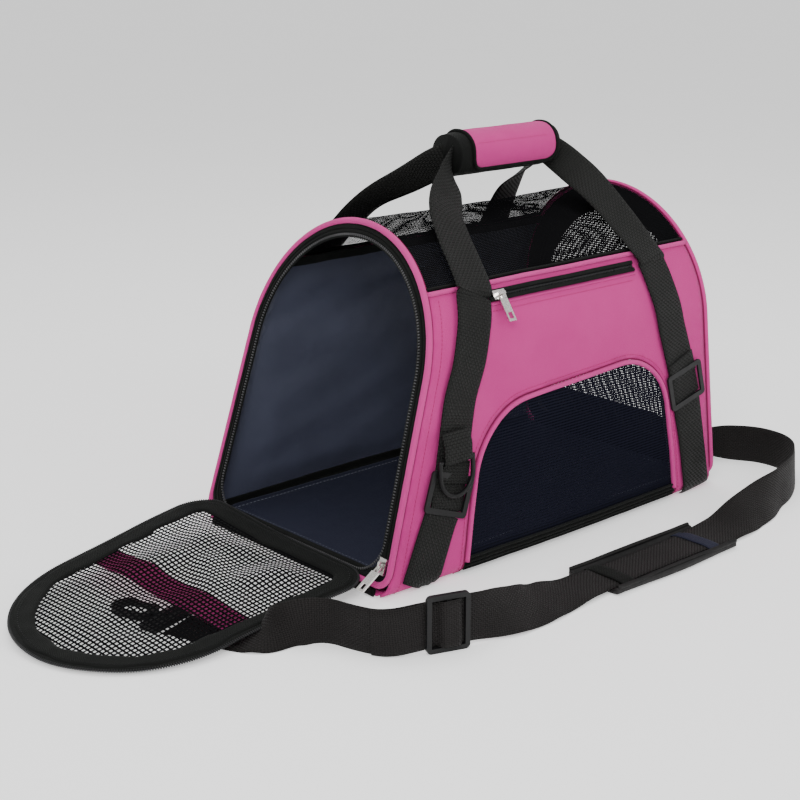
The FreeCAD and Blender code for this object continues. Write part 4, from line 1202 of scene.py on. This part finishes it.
curve.dimensions = "3D"
curve.resolution_u = 12
spline = curve.splines.new("NURBS")
spline.points.add(len(ROUTE) - 1)
for point, (xyz, _) in zip(spline.points, ROUTE):
    point.co = [c * MM for c in xyz] + [1.0]
spline.order_u = 3
spline.use_endpoint_u = True
line_object = into_scene("strap_line", curve)
bpy.context.view_layer.update()
line_mesh = bpy.data.meshes.new_from_object(line_object.evaluated_get(bpy.context.evaluated_depsgraph_get()))
line = [v.co / MM for v in line_mesh.vertices]
bpy.data.objects.remove(line_object)
bpy.data.meshes.remove(line_mesh)


def strap_across(i):
    u = (len(ROUTE) - 2) * i / (len(line) - 1) + 0.5
    u = max(0.0, min(len(ROUTE) - 1.001, u if 0.5 < u < len(ROUTE) - 1.5 else u))
    k = int(u)
    a, b = Vector(ROUTE[k][1]).normalized(), Vector(ROUTE[k + 1][1]).normalized()
    if a.dot(b) < 0:
        b = -b
    return a.lerp(b, smooth(u - k)).normalized()


frames = []
for i, p in enumerate(line):
    d = heading(line, i)
    a = strap_across(i)
    if frames and a.dot(frames[-1][2]) < 0:
        a = -a
    a = (a - d * a.dot(d)).normalized()
    frames.append((p, d, a, d.cross(a)))


def strap_point(i, f):
    p, _, a, n = frames[i]
    q = p + a * (f * WEB_W / 2) + n * (0.5 * wobble(p.x, p.y, 4 * f, 30))
    q.z = max(q.z, 0.75)
    return q, n


strap_piece = strap("shoulder_strap", len(line), 8, strap_point, WEB_T, WEB_W, STRAP,
                    ["strap_front", "strap_middle", "strap_back"])
strap_total = distances(line)[-1] * MM

# second layer of webbing, folded back through the adjuster
centre_of_adjuster = Vector((-236.0, -222.5, 23.4))
reach = distances(line)
middle = min(range(len(line)), key=lambda i: (line[i] - centre_of_adjuster).length)
picked = [i for i in range(len(line)) if -13.0 <= reach[i] - reach[middle] <= 62.0]


def doubled(k, f):
    """The free end comes up through the adjuster, over its middle bar and back along the strap."""
    i, t = picked[0] + int(k / 4), (k % 4) / 4
    j = min(i + 1, len(line) - 1)
    p = line[i].lerp(line[j], t)
    run = reach[i] * (1 - t) + reach[j] * t - reach[middle]
    _, d, a, n = frames[i]
    a = a.lerp(frames[j][2], t).normalized()
    n = d.cross(a)
    outward = n if n.y < 0 else -n
    gap = 1.7 + 5.8 * exp(-(run / 9.0) ** 6) + 1.5 * smooth((run - 14) / 12) * smooth((60 - run) / 20)
    q = p + a * (f * (WEB_W / 2 - 0.2)) + outward * gap
    q.z = max(q.z, 0.8)
    return q, outward


layer = strap("strap_second_layer", (len(picked) - 1) * 4, 8, doubled, WEB_T, WEB_W, STRAP)

# ---- shoulder pad: a curved rubber-edged tray with two sewn loops over the strap ----
def pad_point(x, y, out=0.0):
    """Upper face of the pad: dished along its middle, rims raised at both long edges."""
    t = (x - PX0) / (PX1 - PX0)
    f = abs(y - PY) / PAD_HALF
    rim = 4.4 * smooth((f - 0.72) / 0.2)
    tip = 0.9 * smooth(abs(t - 0.5) * 4 - 1.2)
    return Vector((x, y, 2.4 + rim * (0.8 + 0.2 * sin(pi * t)) + tip + out))


rows = []
for i in range(81):
    x = PX0 + (PX1 - PX0) * i / 80
    pinch = 1 - 0.05 * cos(2 * pi * i / 80)
    top, low = [], []
    for k in range(33):
        f = 2 * k / 32 - 1
        y = PY + PAD_HALF * f * pinch
        ridge = 0.22 * cos(2 * pi * k / 2) if abs(f) < 0.72 else 0.0
        top.append(pad_point(x, PY + PAD_HALF * f, ridge))
        top[-1].y = y
        low.append(Vector((x, y, 0.5 + 1.2 * abs(f) ** 6)))
    rows.append(top + low[::-1])
us, vs = spread(0, PX1 - PX0, 80), spread(0, 2 * PAD_HALF, 32)
pad = make("shoulder_pad_tray", grid(rows, us, vs + vs[::-1] + [0], wrap=True, ends=True), RUBBER,
           ["shoulder_pad"])
parts = []
for side in (-1, 1):
    path = [Vector((PX0 + 1 + (PX1 - PX0 - 2) * i / 60, PY + side * 26.6,
                    pad_point(PX0 + 159 * i / 60, PY + 26.6, 0.5).z)) for i in range(61)]
    parts.append(tube_parts(path, 1.9, 8, flat=0.9))
rims = make("pad_rims", join(parts), RUBBER)
for label, x0, x1, cloth_mat in (("front", -50.0, -34.0, BINDING), ("back", 66.0, 80.0, PAD_BLUE)):
    def over(i, f):
        t = 2 * i / 30 - 1
        y = PY + 23.5 * t
        z = 6.4 - 2.6 * abs(t) ** 5
        return Vector(((x0 + x1) / 2 + f * (x1 - x0) / 2, y, z)), Vector((0, 0, 1))

    strap("pad_loop_" + label, 31, 6, over, 1.1, x1 - x0, cloth_mat)

[tuple(p * MM) for p in line]

# ---- CAD pieces that stay: hard parts get their materials and softened edges ----
HARD = {
    DARK: ["web_rings", "d_ring_front", "d_ring_back", "strap_adjuster", "hook_body_front", "hook_body_back",
           "hook_eye_front", "hook_eye_back", "hook_gate_front", "hook_gate_back"],
    NICKEL: ["front_slider", "front_puller", "back_slider", "back_puller", "pocket_slider", "pocket_puller"],
    STEEL: ["arch_wires"], BOARD: ["base_board"], FOAM: ["grip_foam"],
}
for material, names in HARD.items():
    for name in names:
        node = cad[name]
        for slot in node.material_slots:
            slot.material = material
        if material in (DARK, NICKEL):
            bevel = node.modifiers.new("soft_edges", "BEVEL")
            bevel.width = (0.55 if material is DARK else 0.3) * MM
            bevel.segments = 2
            bevel.limit_method = "ANGLE"
            bevel.angle_limit = radians(35)

# ---- floor, light, camera ----
floor_mesh = bpy.data.meshes.new("studio_floor")
floor_mesh.from_pydata([(x * FLOOR_HALF, y * FLOOR_HALF, 0) for x, y in ((-1, -1), (1, -1), (1, 1), (-1, 1))],
                       [], [(0, 1, 2, 3)])
floor = into_scene("studio_floor", floor_mesh)
n = Nodes("floor_paper")
n.link(n.mix(n.noise(3.0, 2.0), (0.86, 0.86, 0.86), (0.82, 0.82, 0.82)), n.shader.inputs["Base Color"])
n.set(Roughness=0.9, Specular_IOR_Level=0.2, Emission_Color=(1, 1, 1, 1), Emission_Strength=0.45)
floor_mesh.materials.append(n.mat)

world = bpy.data.worlds.new("studio")
world.use_nodes = True
world.node_tree.nodes["Background"].inputs["Color"].default_value = (1, 1, 1, 1)
world.node_tree.nodes["Background"].inputs["Strength"].default_value = 0.75
bpy.context.scene.world = world


def area(name, place, target, size, watts):
    light = bpy.data.lights.new(name, "AREA")
    light.shape = "SQUARE"
    light.size = size
    light.energy = watts
    obj = into_scene(name, light)
    obj.location = place
    obj.rotation_euler = (Vector(target) - Vector(place)).to_track_quat("-Z", "Y").to_euler()


area("key", (-1.5, -1.3, 1.5), (0, 0, 0.12), 0.9, 34)
area("fill", (0.6, -1.9, 0.9), (0, 0, 0.12), 1.2, 14)
area("top", (0.1, 0.3, 1.9), (0, 0, 0.1), 1.3, 18)

camera_data = bpy.data.cameras.new("camera")
camera_data.lens = 72.62
camera_data.sensor_width = 36.0
camera = into_scene("camera", camera_data)
camera.location = (-1.0118, -1.0348, 0.5367)
azimuth, elevation = radians(-41.87), radians(16.77)
back = Vector((sin(azimuth) * cos(elevation), -cos(azimuth) * cos(elevation),
               sin(elevation)))
camera.rotation_euler = (-back).to_track_quat("-Z", "Y").to_euler()
bpy.context.scene.camera = camera
